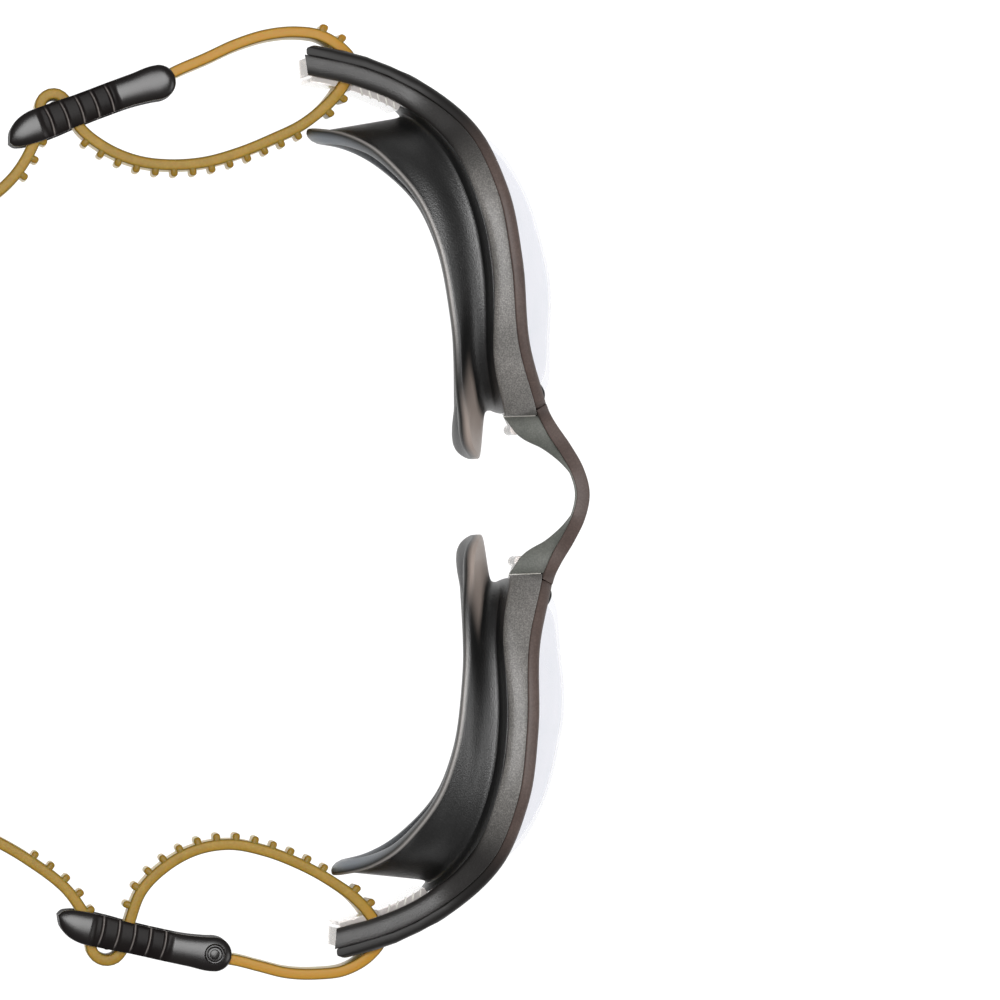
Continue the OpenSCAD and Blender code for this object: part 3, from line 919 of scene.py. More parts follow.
@dataclass
class EyeFrame:
    """One eye frame: bezel, lens and gasket, soft cover, and the clear frame inside."""

    side: Side
    around: int = 120
    lens_t: float = 1.9
    lens_dome: float = 6.2
    lens_shell: float = 0.45
    gasket_w: float = 0.7
    gasket_set: float = 0.45
    gasket_nose: float = 1.5
    pin_ahead: float = 1.0
    pin_in: float = 0.4
    bezel_inset: float = 0.4
    bezel_round: float = 1.15
    back_round: float = 0.3
    strip_in: float = 7.3
    rib_count: int = 5
    rib_from: float = 9.6
    rib_step: float = 1.75
    rib_turn: float = 40.0

    def front_y(self, x: float, t: float) -> float:
        """Find the frame's front.

        Args:
            x: The place across the frame.
            t: How far behind the front to go.

        Returns:
            The Y there.
        """
        return FRONT.place(FRONT.s_at_x(x), t).y

    def rim_ray(self, angle: float, centre: float, least: float, less: float) -> tuple[float, float]:
        """Cast a ray over the flattened front, to the outline.

        Args:
            angle: The ray's angle from the temple side.
            centre: The ray's start along the front.
            least: The length along the front where the piece starts at the nose.
            less: How far the piece keeps inside the outline and the arm's end.

        Returns:
            The length along the front and the height where it meets the outline.
        """
        c, s = math.cos(angle), math.sin(angle)
        low, high = 0.0, 80.0
        most = FRONT.length + EYE.arm_tip - less
        for _ in range(40):
            mid = (low + high) / 2
            along = centre + mid * c
            inside = least <= along <= most and abs(mid * s) <= OUTLINE(FRONT.place(along).x) - less
            low, high = (mid, high) if inside else (low, mid)
        return centre + low * c, low * s

    def bezel(self, palette: Palette) -> bpy.types.Object:
        """Build the rounded band round the front, with the strap's slot through the arm."""
        hole = oval(EYE.open_x, EYE.open_a, EYE.open_b, self.around)
        lips = [
            (oval(EYE.open_x, EYE.open_a + more, EYE.open_b + more, self.around), deep)
            for more, deep in ((0.0, 0.45), (0.06, 0.22), (0.22, 0.06), (0.45, 0.0))
        ]
        centre = FRONT.s_at_x(EYE.open_x)
        least = FRONT.s_at_x(EYE.joint_x)
        angles = [math.atan2(p.y, FRONT.s_at_x(p.x) - centre) % math.tau for p in hole]
        nose = math.atan2(OUTLINE(EYE.joint_x) - self.bezel_inset, least - centre)
        arm = math.atan2(EYE.arm_h / 2 - self.bezel_inset, FRONT.length + EYE.arm_tip - centre)
        for wanted in (arm, math.tau - arm, nose, math.tau - nose):
            near = min(range(self.around), key=lambda i: abs(angles[i] - wanted))
            angles[near] = wanted
        big, small, full = self.bezel_round, self.back_round, EYE.bezel_t
        turns = [math.radians(a) for a in (0, 18, 36, 54, 72, 90)]
        profile = [(big * (1 - math.sin(a)), big * (1 - math.cos(a))) for a in turns]
        profile += [(small * (1 - math.cos(a)), full - small + small * math.sin(a)) for a in turns[::2]]
        profile.append((small, full))
        cuts = 6
        sections = []
        for i, (p, angle) in enumerate(zip(hole, angles)):
            s_in = FRONT.s_at_x(p.x)
            section = [Vector((s_in, full, p.y))]
            section += [Vector((FRONT.s_at_x(lip[i].x), deep, lip[i].y)) for lip, deep in lips]
            rim = [(*self.rim_ray(angle, centre, least, self.bezel_inset + less), deep) for less, deep in profile]
            last = section[-1]
            for k in range(1, cuts):
                section.append(Vector((mix(last.x, rim[0][0], k / cuts), 0, mix(last.z, rim[0][1], k / cuts))))
            section += [Vector((s, deep, z)) for s, z, deep in rim]
            last = section[-1]
            for k in range(1, cuts):
                section.append(Vector((mix(last.x, s_in, k / cuts), full, mix(last.z, p.y, k / cuts))))
            sections.append(section)
        bm = loft(sections, closed=True)
        self.cut_slot(bm)
        # Painted shade: the band is painted darker towards the end of the arm
        arm_from = FRONT.s_at_x(54)
        mark(bm, "arm", lambda spot: ease((spot.x - arm_from) / 14))
        slant_end(bm)
        bend(bm, FRONT)
        obj = finish_piece(f"{self.side.word}_bezel_band", bm, palette.bezel, self.side, sharp=50)
        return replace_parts(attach(obj, BODY_FRAME), f"{self.side.word}_bezel")

    @property
    def slot(self) -> tuple[float, float, float]:
        """The strap's slot in the bezel: from and to along the front, and half its height."""
        return FRONT.length - 8.6, FRONT.length - 1.6, 5.8

    def in_slot(self, spot: Vector, more: float) -> bool:
        """Tell whether a spot of the flat bezel lies within the slot.

        Args:
            spot: The spot.
            more: How much the slot is grown.

        Returns:
            True within it.
        """
        low, high, half = self.slot
        return low - more < spot.x < high + more and abs(spot.z) < half + more

    def cut_slot(self, bm: bmesh.types.BMesh) -> None:
        """Cut the slot through the flat bezel."""
        low, high, half = self.slot
        for spot, normal in (
            ((low, 0, 0), (1, 0, 0)),
            ((high, 0, 0), (1, 0, 0)),
            ((0, 0, half), (0, 0, 1)),
            ((0, 0, -half), (0, 0, 1)),
        ):
            bmesh.ops.bisect_plane(
                bm, geom=[*bm.verts, *bm.edges, *bm.faces], plane_co=spot, plane_no=normal, dist=1e-4
            )
        inside = [
            f
            for f in bm.faces
            if self.in_slot(f.calc_center_median(), -0.01) and f.calc_center_median().x < FRONT.length - 0.5
        ]
        bmesh.ops.delete(bm, geom=inside, context="FACES")
        rims = [e for e in bm.edges if e.is_boundary]
        bmesh.ops.bridge_loops(bm, edges=rims)

    def cover(self, palette: Palette) -> bpy.types.Object:
        """Build the soft cover: a strip from the arm's end round the eye and back."""
        a, b = EYE.open_a + EYE.cover_w, EYE.open_b + EYE.cover_w
        centre = FRONT.s_at_x(EYE.open_x)
        front = EYE.bezel_t + 0.04
        most = FRONT.length + EYE.arm_tip
        fore = [(0.2, 0.0), (0.05, 0.06), (0.0, 0.2)]
        rear = [(0.0, 2.4), (0.06, 1.5), (0.18, 0.85), (0.4, 0.4), (0.72, 0.12), (1.05, 0.0)]
        lines = []
        count = 84
        for i in range(count):
            s = mix(most, centre, i / count)
            x = FRONT.place(s).x
            off = min(1.0, abs(x - EYE.open_x) / a)
            inner = max(self.strip_in, b * (1 - off**2.4) ** (1 / 2.4))
            room = 0.8 * (OUTLINE(x) - inner)
            lines.append((s, inner, [(s, OUTLINE(x) - min(room, less)) for less, _ in fore + rear]))
        nose = math.atan2(OUTLINE(EYE.x_nose), -centre)
        around = 160
        half = oval(EYE.open_x, a, b, around)[around // 4 : around // 2 + 1]
        angles = [math.atan2(p.y, FRONT.s_at_x(p.x) - centre) for p in half]
        near = min(range(len(half)), key=lambda i: abs(angles[i] - nose))
        angles[near] = nose
        for p, angle in zip(half, angles):
            rim = [self.rim_ray(angle, centre, 0.0, less) for less, _ in fore + rear]
            lines.append((FRONT.s_at_x(p.x), p.y, rim))
        lines += [(s, -z, [(at_s, -at_z) for at_s, at_z in rim]) for s, z, rim in reversed(lines[:-1])]
        sections = []
        for s, z, rim in lines:
            deep = [front + d for _, d in fore] + [DEPTH(rim[0][0]) - d for _, d in rear]
            section = [Vector((at_s, t, at_z)) for (at_s, at_z), t in zip(rim, deep)]
            sections.append([*section, Vector((s, DEPTH(s), z)), Vector((s, front, z))])
        bm = loft(sections)
        # Painted shade: the cover is painted darker towards the end of the arm
        arm_from = FRONT.s_at_x(50)
        mark(bm, "arm", lambda spot: ease((spot.x - arm_from) / 16))
        slant_end(bm)
        bend(bm, FRONT, EYE.x_nose)
        lean_nose(bm)
        obj = finish_piece(f"{self.side.word}_soft_cover", bm, palette.cover, self.side, sharp=50)
        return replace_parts(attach(obj, BODY_FRAME), f"{self.side.word}_frame_cover")

    def clear_edges(self, palette: Palette) -> bpy.types.Object:
        """Build the pale edge between soft cover and nose bridge, and the ribs on the arm's inner strip."""
        n = EYE.x_nose
        low = (n - 0.2, EYE.nose_set + EYE.bezel_t + 0.2, 0.05 - OUTLINE(n))
        high = (n + 0.06, EYE.nose_set + EYE.nose_t + 0.06, OUTLINE(n) - 0.05)
        bm = box_at(low, high, 0.09, 2)
        lean_nose(bm)
        turn = Matrix.Rotation(math.radians(self.rib_turn), 3, "Z")
        for k in range(self.rib_count):
            s = FRONT.length - self.rib_from - self.rib_step * k
            rib = box_at((-0.17, -0.75, self.strip_in - 0.4), (0.17, 0.75, self.strip_in), 0.08, 2)
            bmesh.ops.rotate(rib, cent=(0, 0, 0), matrix=turn, verts=rib.verts)
            bmesh.ops.translate(rib, vec=(s, EYE.arm_t + 0.55, 0), verts=rib.verts)
            bend(rib, FRONT)
            join(bm, rib)
        obj = finish_piece(f"{self.side.word}_clear_ribs", bm, palette.seam, self.side)
        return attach(obj, BODY_FRAME)

    def lens(self, palette: Palette) -> bpy.types.Object:
        """Build the domed clear lens."""
        around, out = 112, 20
        grow = -self.gasket_w - 2 * EYE.gap
        rim = oval(EYE.open_x, EYE.open_a + grow, EYE.open_b + grow, around)
        rim_y = EYE.bezel_t - EYE.gap
        near = [(16, 0.8), (21.3, 0.84), (26.2, 0.91), (32.1, 1.02), (37.3, 1.03)]
        swelling = Curve([*near, (43.9, 0.92), (49.5, 0.81), (55.1, 0.72), (62, 0.66)])

        def spot(p: Vector, k: int, inner: int) -> Vector:
            """The place k rings out towards p, on the front or the inner face."""
            r = math.sin(math.pi / 2 * k / out)
            wall = inner * mix(self.lens_shell, self.lens_t, r**12)
            q = r * (1 - inner * self.lens_shell / (EYE.open_a + grow))
            x = mix(EYE.open_x, p.x, q)
            dome = self.lens_dome * math.sqrt(max(0.0, 1 - r**4)) * swelling(x)
            return Vector((x, self.front_y(x, 0) + rim_y - self.lens_t + wall - dome, p.y * q))

        sections = [
            [spot(p, k, 0) for k in range(out + 1)] + [spot(p, k, 1) for k in range(out, -1, -1)]
            for p in rim
        ]
        bm = grid(around, 2 * out + 1, lambda i, j: sections[i % around][j])
        loose = [f for f in bm.faces if f.calc_area() < 1e-7]
        bmesh.ops.delete(bm, geom=loose, context="FACES")
        round_edges(bm, 0.25, angle=50, segments=2)
        obj = finish_piece(f"{self.side.word}_domed_lens", bm, palette.lens, self.side)
        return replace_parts(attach(obj, BODY_FRAME), f"{self.side.word}_lens")

    def gasket(self, palette: Palette) -> bpy.types.Object:
        """Build the thin ring between lens and bezel."""
        wide = oval(EYE.open_x, EYE.open_a - EYE.gap, EYE.open_b - EYE.gap, self.around)
        grow = EYE.gap + self.gasket_w
        tight = oval(EYE.open_x, EYE.open_a - grow, EYE.open_b - grow, self.around)
        sections = []
        for a, b in zip(wide, tight):
            ahead = self.gasket_set - self.gasket_nose * ease((20.5 - a.x) / 3.5)
            y_a, y_b = (self.front_y(q.x, 0) - swell(q.x, 0) for q in (a, b))
            sections.append(
                [
                    Vector((a.x, y_a + ahead, a.y)),
                    Vector((a.x, y_a + EYE.bezel_t, a.y)),
                    Vector((b.x, y_b + EYE.bezel_t, b.y)),
                    Vector((b.x, y_b + ahead, b.y)),
                ]
            )
        bm = loft(sections, closed=True)
        round_edges(bm, 0.2, segments=3)
        obj = finish_piece(f"{self.side.word}_gasket_ring", bm, palette.gasket, self.side)
        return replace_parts(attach(obj, BODY_FRAME), f"{self.side.word}_lens_gasket")

    def clear(self, palette: Palette) -> bpy.types.Object:
        """Build the clear frame from its CAD shape, with its nose pin drawn up to the web."""
        name = f"{self.side.word}_clear_frame"
        bm = bmesh.new()
        bm.from_mesh(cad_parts[name].data)
        bmesh.ops.transform(bm, matrix=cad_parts[name].matrix_world, verts=bm.verts)
        bmesh.ops.scale(bm, vec=(1 / MM, 1 / MM, 1 / MM), verts=bm.verts)
        for v in bm.verts:
            if abs(v.co.x) < EYE.x_nose - 0.02:
                v.co.y -= self.pin_ahead
                v.co.x += self.pin_in * self.side.value
        obj = finish_piece(f"{self.side.word}_clear_core", bm, palette.clear)
        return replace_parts(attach(obj, BODY_FRAME), name)

    def build(self, palette: Palette) -> None:
        """Build all pieces of this eye frame."""
        self.bezel(palette)
        self.cover(palette)
        self.clear_edges(palette)
        self.lens(palette)
        self.gasket(palette)
        self.clear(palette)


# The outside of a seal's wall: share of the way out to the lip, depth, and depth at the nose
WALL = (
    (0, 0.12, 0.12), (0, 0.24, 0.22), (0, 0.38, 0.34), (0.03, 0.52, 0.44), (0.1, 0.66, 0.5),
    (0.3, 0.79, 0.55), (0.6, 0.88, 0.62), (0.88, 0.95, 0.69),
)
# The inside of its wall, from the lip back to the frame: share of the way out, and depth
INSIDE = ((0.85, 0.86), (0.3, 0.66), (0.06, 0.4), (0, 0.15), (0, 0))
# Rows of a cross-section that lie on the flared lip, on its edge and on its back
LIP_ROWS = range(9, 14)
EDGE_ROWS = range(14, 15)
BACK_ROWS = range(16, 18)


@dataclass
class EyeSeal:
    """One soft cup with its flared lip."""

    side: Side
    around: int = 96
    seal_t: float = 1.8
    lip_t: float = 1.2
    lip_w: float = 3.4
    lip_lean: float = 1.2
    lip_nose: float = 7.1
    seal_back: float = 43.0
    cheek: float = 4.5
    dip: float = 1.2
    foot: float = 1.5
    foot_in: float = 0.3
    foot_nose: float = 0.7

    @property
    def tip_x(self) -> float:
        """Where the rim ends at the temple."""
        return EYE.x_root - 3.6

    def rim(self) -> Curve:
        """The rim of the lip seen from above, over X."""
        b, x, w = EYE.brow_set, EYE.x_nose, EYE.eye_w
        return Curve(
            [
                (x - self.lip_nose, b + 7.7), (x - self.lip_nose + 1.6, b + 9.4), (x + 0.5, b + 10.8),
                (x + 0.31 * w, b + 11.9), (x + 0.575 * w, b + 14.2), (x + 0.71 * w, b + 17),
                (x + 0.8 * w, mix(b + 17, self.seal_back, 0.21)),
                (x + 0.875 * w, mix(b + 17, self.seal_back, 0.45)),
                (x + 0.915 * w, mix(b + 17, self.seal_back, 0.7)),
                (self.tip_x, self.seal_back),
            ]
        )

    def back_y(self, x: float) -> float:
        """The back of the frame at x."""
        s = FRONT.s_at_x(x)
        for _ in range(6):
            spot = FRONT.place(s, DEPTH(s))
            s += x - spot.x
        return FRONT.place(s, DEPTH(s)).y

    @staticmethod
    def key(spot: Vector) -> tuple[float, ...]:
        """A spot in a form that finds it again."""
        return tuple(round(c, 3) for c in spot)

    @property
    def base_b(self) -> float:
        """Half the height of the foot of the wall."""
        return EYE.open_b + 0.7

    @property
    def rim_x(self) -> float:
        """The middle of the lip."""
        return (EYE.x_nose - self.lip_nose + self.tip_x) / 2

    @property
    def rim_a(self) -> float:
        """Half the width of the lip."""
        return (self.tip_x - EYE.x_nose + self.lip_nose) / 2

    @property
    def rim_b(self) -> float:
        """Half the height of the lip."""
        return EYE.half_h - 1.6

    def ovals(self) -> list[list[Vector]]:
        """Walk round the foot of the wall and round the lip, each outside and inside."""
        x, a, b = EYE.open_x + 0.4, EYE.open_a + 1.7, self.base_b
        t, w = self.seal_t, self.lip_w
        sizes = (
            (x, a, b),
            (x, a - t, b - t),
            (self.rim_x, self.rim_a, self.rim_b),
            (self.rim_x + self.lip_lean, self.rim_a - w, self.rim_b - w),
        )
        return [oval(*size, self.around) for size in sizes]

    def build(self, palette: Palette) -> bpy.types.Object:
        """Build the cup as cross-sections round the eye."""
        rim = self.rim()
        sections = []
        marks: dict[tuple[float, ...], tuple[float, float, float]] = {}
        for bo, bi, eo, ei in zip(*self.ovals()):
            relief = 0.0
            if eo.y < 0:
                relief = self.cheek * -eo.y / self.rim_b * (1 - abs((eo.x - self.rim_x) / self.rim_a) ** 6)
            root = self.back_y(bo.x) + EYE.gap
            root_in = self.back_y(bi.x) + EYE.gap
            tip = rim(eo.x) - self.lip_t - relief

            middle = Vector((EYE.open_x, 0))
            brow = abs(bo.y) / self.base_b
            nose = ease((middle.x - 12 - bo.x) / 10) * (1 - brow * 0.6)
            outward = (bo - middle).normalized()
            temple = max(0.0, outward.x) ** 8
            noseward = max(0.0, -outward.x) ** 4

            def dip(depth: float) -> float:
                """How far the wall draws in at a depth."""
                return self.dip * brow * ease(depth / 0.12) * (1 - ease((depth - 0.42) / 0.5))

            def out(share: float, depth: float, at_nose: float) -> Vector:
                """A place on the outside of the wall."""
                d = mix(depth, at_nose, nose)
                p = bo.lerp(eo, mix(share, d, temple))
                return Vector((p.x, mix(root, tip, d), p.y - math.copysign(dip(d), p.y)))

            def inner(share: float, depth: float, more: float = 0.0) -> Vector:
                """A place on the inside of the wall."""
                p = bi.lerp(ei, share)
                fall = math.copysign(dip(depth), p.y) * (more == 0.0)
                return Vector((p.x, mix(root_in, tip, depth) + more, p.y - fall))

            foot = bo + outward * (self.foot * (1 - 0.6 * noseward) + 1.1 * temple)
            foot_y = self.back_y(foot.x) - self.foot_in - self.foot_nose * noseward
            flared = eo + outward * (0.7 * temple)
            lip = flared.lerp(ei, 0.06)
            back = flared.lerp(ei, 0.5)
            section = [
                Vector((foot.x, foot_y, foot.y)),
                Vector((foot.x, foot_y + 0.06, foot.y)),
                Vector((mix(foot.x, bo.x, 0.3), mix(foot_y, root, 0.3) + 0.5, mix(foot.y, bo.y, 0.3))),
                Vector((mix(foot.x, bo.x, 0.95), mix(foot_y, root, 0.9) + 0.6, mix(foot.y, bo.y, 0.95))),
                *[out(*row) for row in WALL],
                Vector((flared.x, mix(root, tip, mix(0.985, 0.76, nose)), flared.y)),
                Vector((flared.x, mix(root, tip, mix(1.0, 0.84, nose)) + 0.05, flared.y)),
                Vector((flared.x, tip + self.lip_t * 0.6, flared.y)),
                Vector((lip.x, tip + self.lip_t * 0.9, lip.y)),
                Vector((back.x, tip + self.lip_t * 1.02, back.y)),
                inner(1, 0.9, self.lip_t),
                *[inner(*row) for row in INSIDE],
            ]
            sections.append(section)
            side_nose = max(0.0, -outward.x)
            for j, v in enumerate(section):
                # Painted highlight along the edge of the lip
                edge = (1 - ease(side_nose / 0.7)) * (j in EDGE_ROWS)
                # Painted highlight on the flared lip at the nose
                flange_highlight = ease((side_nose - 0.6) / 0.3) * (j in LIP_ROWS)
                # Painted reflection on the back of the lip at the temple
                marks[self.key(v)] = (edge, flange_highlight, temple * (j in BACK_ROWS))
        bm = loft(sections, closed=True)
        # Keep the painted highlights and the painted reflection as attributes that the finish reads
        for k, word in enumerate(("lip_edge_highlight", "flange_highlight", "temple")):
            mark(bm, word, lambda spot, k=k: marks.get(self.key(spot), (0.0, 0.0, 0.0))[k])
        name = f"{self.side.word}_seal_cup"
        obj = finish_piece(name, bm, palette.seal, self.side, sharp=60, subdivide=1)
        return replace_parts(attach(obj, BODY_FRAME), f"{self.side.word}_eye_seal")


# ---------------------------------------------------------------- the nose bridge


@dataclass
class NoseBridge:
    """The soft band over the nose and the web behind it."""

    bridge_h: float = 8.4
    bridge_lip: float = 0.7
    lean: float = 0.13
    web_in: float = 0.15
    stations: int = 90

    def thick(self, x: float) -> float:
        """The thickness of the band at x."""
        return EYE.bezel_t + 0.3 * ease((EYE.x_nose - abs(x)) / 4)

    def lean_at(self, x: float) -> float:
        """How much the back leans forward for each millimetre down, at x."""
        return self.lean * ease((EYE.x_nose - 0.3 - abs(x)) / 3)

    def lead(self, way: Way, x: float) -> float:
        """Tell how far behind the band's front its back lies, along Y.

        Args:
            way: The front of the band.
            x: The place across the bridge.

        Returns:
            The distance.
        """
        s = way.s_at_x(x)
        for _ in range(12):
            s += x - way.place(s, self.thick(x)).x
        return way.place(s, self.thick(x)).y - way.place(way.s_at_x(x)).y

    def half(self, x: float) -> float:
        """Half the height of the bridge at x."""
        n = EYE.x_nose
        return Curve(
            [
                (0, self.bridge_h / 2),
                (0.37 * n, self.bridge_h / 2 + 0.2),
                (0.74 * n, mix(self.bridge_h / 2, 0.405 * EYE.half_h, 0.6)),
                (n - EYE.gap, 0.405 * EYE.half_h - 0.4),
                (EYE.joint_x, OUTLINE(EYE.joint_x) - 0.4),
            ]
        )(abs(x))

    @property
    def front(self) -> Way:
        """The front of the band, from the right to the left."""
        n = EYE.x_nose
        end = FRONT.place(FRONT.s_at_x(EYE.joint_x + 0.12))
        half = [
            (0, -EYE.bezel_t - self.bridge_lip - 0.5), (0.34 * n, -2.15), (0.6 * n, -0.1), (0.84 * n, 2.2),
            (end.x, end.y),
        ]
        return Way([(-x, y) for x, y in reversed(half[1:])] + half)

    def back(self, x: float) -> float:
        """The back of the web at x, along its upper edge."""
        n = EYE.x_nose
        return Curve(
            [
                (-0.19 * n, -0.4), (0, -0.85), (0.19 * n, -0.4), (0.37 * n, 1.4), (0.5 * n, 3.4),
                (0.6 * n, 5.4), (0.66 * n, 7.1), (0.72 * n, 8.5), (0.79 * n, 9.6), (0.9 * n, 10.7),
                (n - EYE.gap, EYE.nose_set + EYE.nose_t),
            ]
        )(abs(x))

    def band(self, palette: Palette) -> bpy.types.Object:
        """Build the rounded band."""
        way = self.front
        sections = []
        for i in range(self.stations + 1):
            s = way.length * i / self.stations
            z = self.half(way.place(s).x)
            t = self.thick(way.place(s).x)
            low = t - 2 * z * self.lean_at(way.place(s).x)
            sections.append([Vector((s, 0, z)), Vector((s, t, z)), Vector((s, low, -z)), Vector((s, 0, -z))])
        bm = loft(sections)
        ends = (0.01, way.length - 0.01)
        round_edges(bm, 0.8, segments=5, where=lambda m: ends[0] < m.x < ends[1])
        bend(bm, way)
        obj = finish_piece("nose_band", bm, palette.bezel)
        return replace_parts(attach(obj, BODY_FRAME), "nose_bridge_band")

    def web(self, palette: Palette) -> bpy.types.Object:
        """Build the web, from the band back to the cover of each eye frame."""
        way = self.front
        reach = EYE.x_nose - EYE.gap
        sections = []
        for i in range(self.stations + 1):
            x = reach * math.sin(math.pi * (i / self.stations - 0.5))
            front = way.place(way.s_at_x(x)).y + self.lead(way, x) - self.web_in
            z = self.half(x) - 0.05
            back = max(self.back(x), front + self.bridge_lip * 0.6)
            lean = self.lean * z
            levels = [1.0, 0.85, 0.4, 0.0, -0.4, -0.85, -1.0]
            rear = [Vector((x, back - lean * (1 - k), z * k)) for k in levels]
            sections.append([Vector((x, front, z)), *rear, Vector((x, front - 2 * lean, -z))])
        bm = loft(sections)
        round_edges(bm, 0.3, angle=40, segments=3, where=lambda m: abs(m.x) < EYE.x_nose - 0.2)
        obj = finish_piece("nose_web", bm, palette.web)
        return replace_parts(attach(obj, BODY_FRAME), "nose_bridge_web")

    def build(self, palette: Palette) -> None:
        """Build the bridge."""
        self.band(palette)
        self.web(palette)


# ---------------------------------------------------------------- the strap and its buckles


def at(dx: float, dy: float) -> Pair:
    """Place a point near the end of the left arm, as the part's source does.

    Args:
        dx: The distance out from the arm's end.
        dy: The distance back.

    Returns:
        The point seen from above.
    """
    return EYE.x_tip + dx, PIVOT_Y + 3.7 + dy


@dataclass(frozen=True)
class StrapSide:
    """The way of the strap on one side, drawn on the left."""

    pin: Pair
    angle: float
    outer: tuple[Pair, ...]
    inner: tuple[Pair, ...]
    tail: tuple[Pair, ...]
    loop_r: float
    outer_studs: int
    tail_studs: int

    def on_buckle(self, along: float, across: float) -> Pair:
        """Place a point on the buckle, from its pin.

        Args:
            along: The distance along the buckle.
            across: The distance across it.

        Returns:
            The point seen from above.
        """
        a = math.radians(self.angle)
        return (
            self.pin[0] - along * math.sin(a) + across * math.cos(a),
            self.pin[1] + along * math.cos(a) + across * math.sin(a),
        )

    def loop(self) -> list[Pair]:
        """The strap's turn round the turning bar."""
        cx, cy = self.on_buckle(TURN_S, TURN_T)
        out = []
        for a in range(-72, 109, 36):
            angle = math.radians(a + self.angle / 2)
            out.append((cx + self.loop_r * math.cos(angle), cy + self.loop_r * math.sin(angle)))
        return out

    def points(self) -> list[Pair]:
        """The points of this side, from the pin to the tail."""
        bar = [at(0.1, -4.9), at(-2.9, -7.2), at(-7, -5.5)]
        start = (self.pin[0] + 0.6, self.pin[1] - 0.6)
        turn = self.on_buckle(TURN_S - 3, -2.6)
        return [start, *self.outer, *bar, *self.inner, turn, *self.loop(), *self.tail]

    @property
    def bar_index(self) -> int:
        """The number of the point where the inner run starts."""
        return len(self.outer) + 3

    @property
    def turn_index(self) -> int:
        """The number of the point where the run reaches the buckle's turn."""
        return self.bar_index + len(self.inner) + 1


TURN_S = 18.2
TURN_T = 2.2
LEFT_STRAP = StrapSide(
    pin=at(-5.3, 25.4),
    angle=18.4,
    outer=(at(-3.7, 22.8), at(-1.5, 17.3), at(0.8, 11.8), at(2.2, 6.6), at(2.5, 1.8), at(1.8, -2.2)),
    inner=(
        at(-10, -3), at(-13.1, 1), at(-15.6, 6.5), at(-17.8, 12.5), at(-19.1, 17.9), at(-19.4, 23.3),
        at(-18.6, 29.2), at(-16, 35),
    ),
    tail=(
        at(-12.6, 45.9), at(-15.6, 47.2), at(-20.4, 50.4), at(-24.2, 55), at(-27.6, 63.6), at(-29.6, 75.1),
        at(-30.4, 89.6),
    ),
    loop_r=2.3,
    outer_studs=2,
    tail_studs=3,
)
RIGHT_STRAP = StrapSide(
    pin=at(-1.3, 20.9),
    angle=14.1,
    outer=(at(-0.1, 17.2), at(1, 13.4), at(2.3, 8.8), at(2.7, 3.6), at(2.2, -1.2)),
    inner=(
        at(-9.9, -3.2), at(-13.2, 1), at(-16.3, 6.4), at(-18.5, 11.7), at(-19.8, 17.6), at(-19.2, 23),
        at(-16.5, 28.6), at(-12.3, 33),
    ),
    tail=(at(-11.3, 44.2), at(-18.5, 52.1), at(-23.4, 60.6), at(-27.5, 72.6), at(-29.4, 89.6)),
    loop_r=2.75,
    outer_studs=0,
    tail_studs=5,
)
SIDES = {Side.LEFT: LEFT_STRAP, Side.RIGHT: RIGHT_STRAP}

STRAP_BACK = 187.0
HALF_BAND = 11.0
REACH = STRAP_BACK + 0.95 - PIVOT_Y
SLOPE = math.asin(EYE.half_h / math.hypot(REACH, HALF_BAND)) - math.atan2(HALF_BAND, REACH)


def droop(bm: bmesh.types.BMesh, whole: bool = False) -> None:
    """Let everything behind the arms hang at the strap's slope.

    Args:
        bm: The mesh, level.
        whole: Whether all of it turns, rather than what lies behind the arms.
    """
    for v in bm.verts:
        dy = v.co.y - PIVOT_Y
        a = SLOPE if whole else SLOPE * ease((dy + 3) / 6)
        v.co.y = PIVOT_Y + dy * math.cos(a) + v.co.z * math.sin(a)
        v.co.z = -dy * math.sin(a) + v.co.z * math.cos(a)


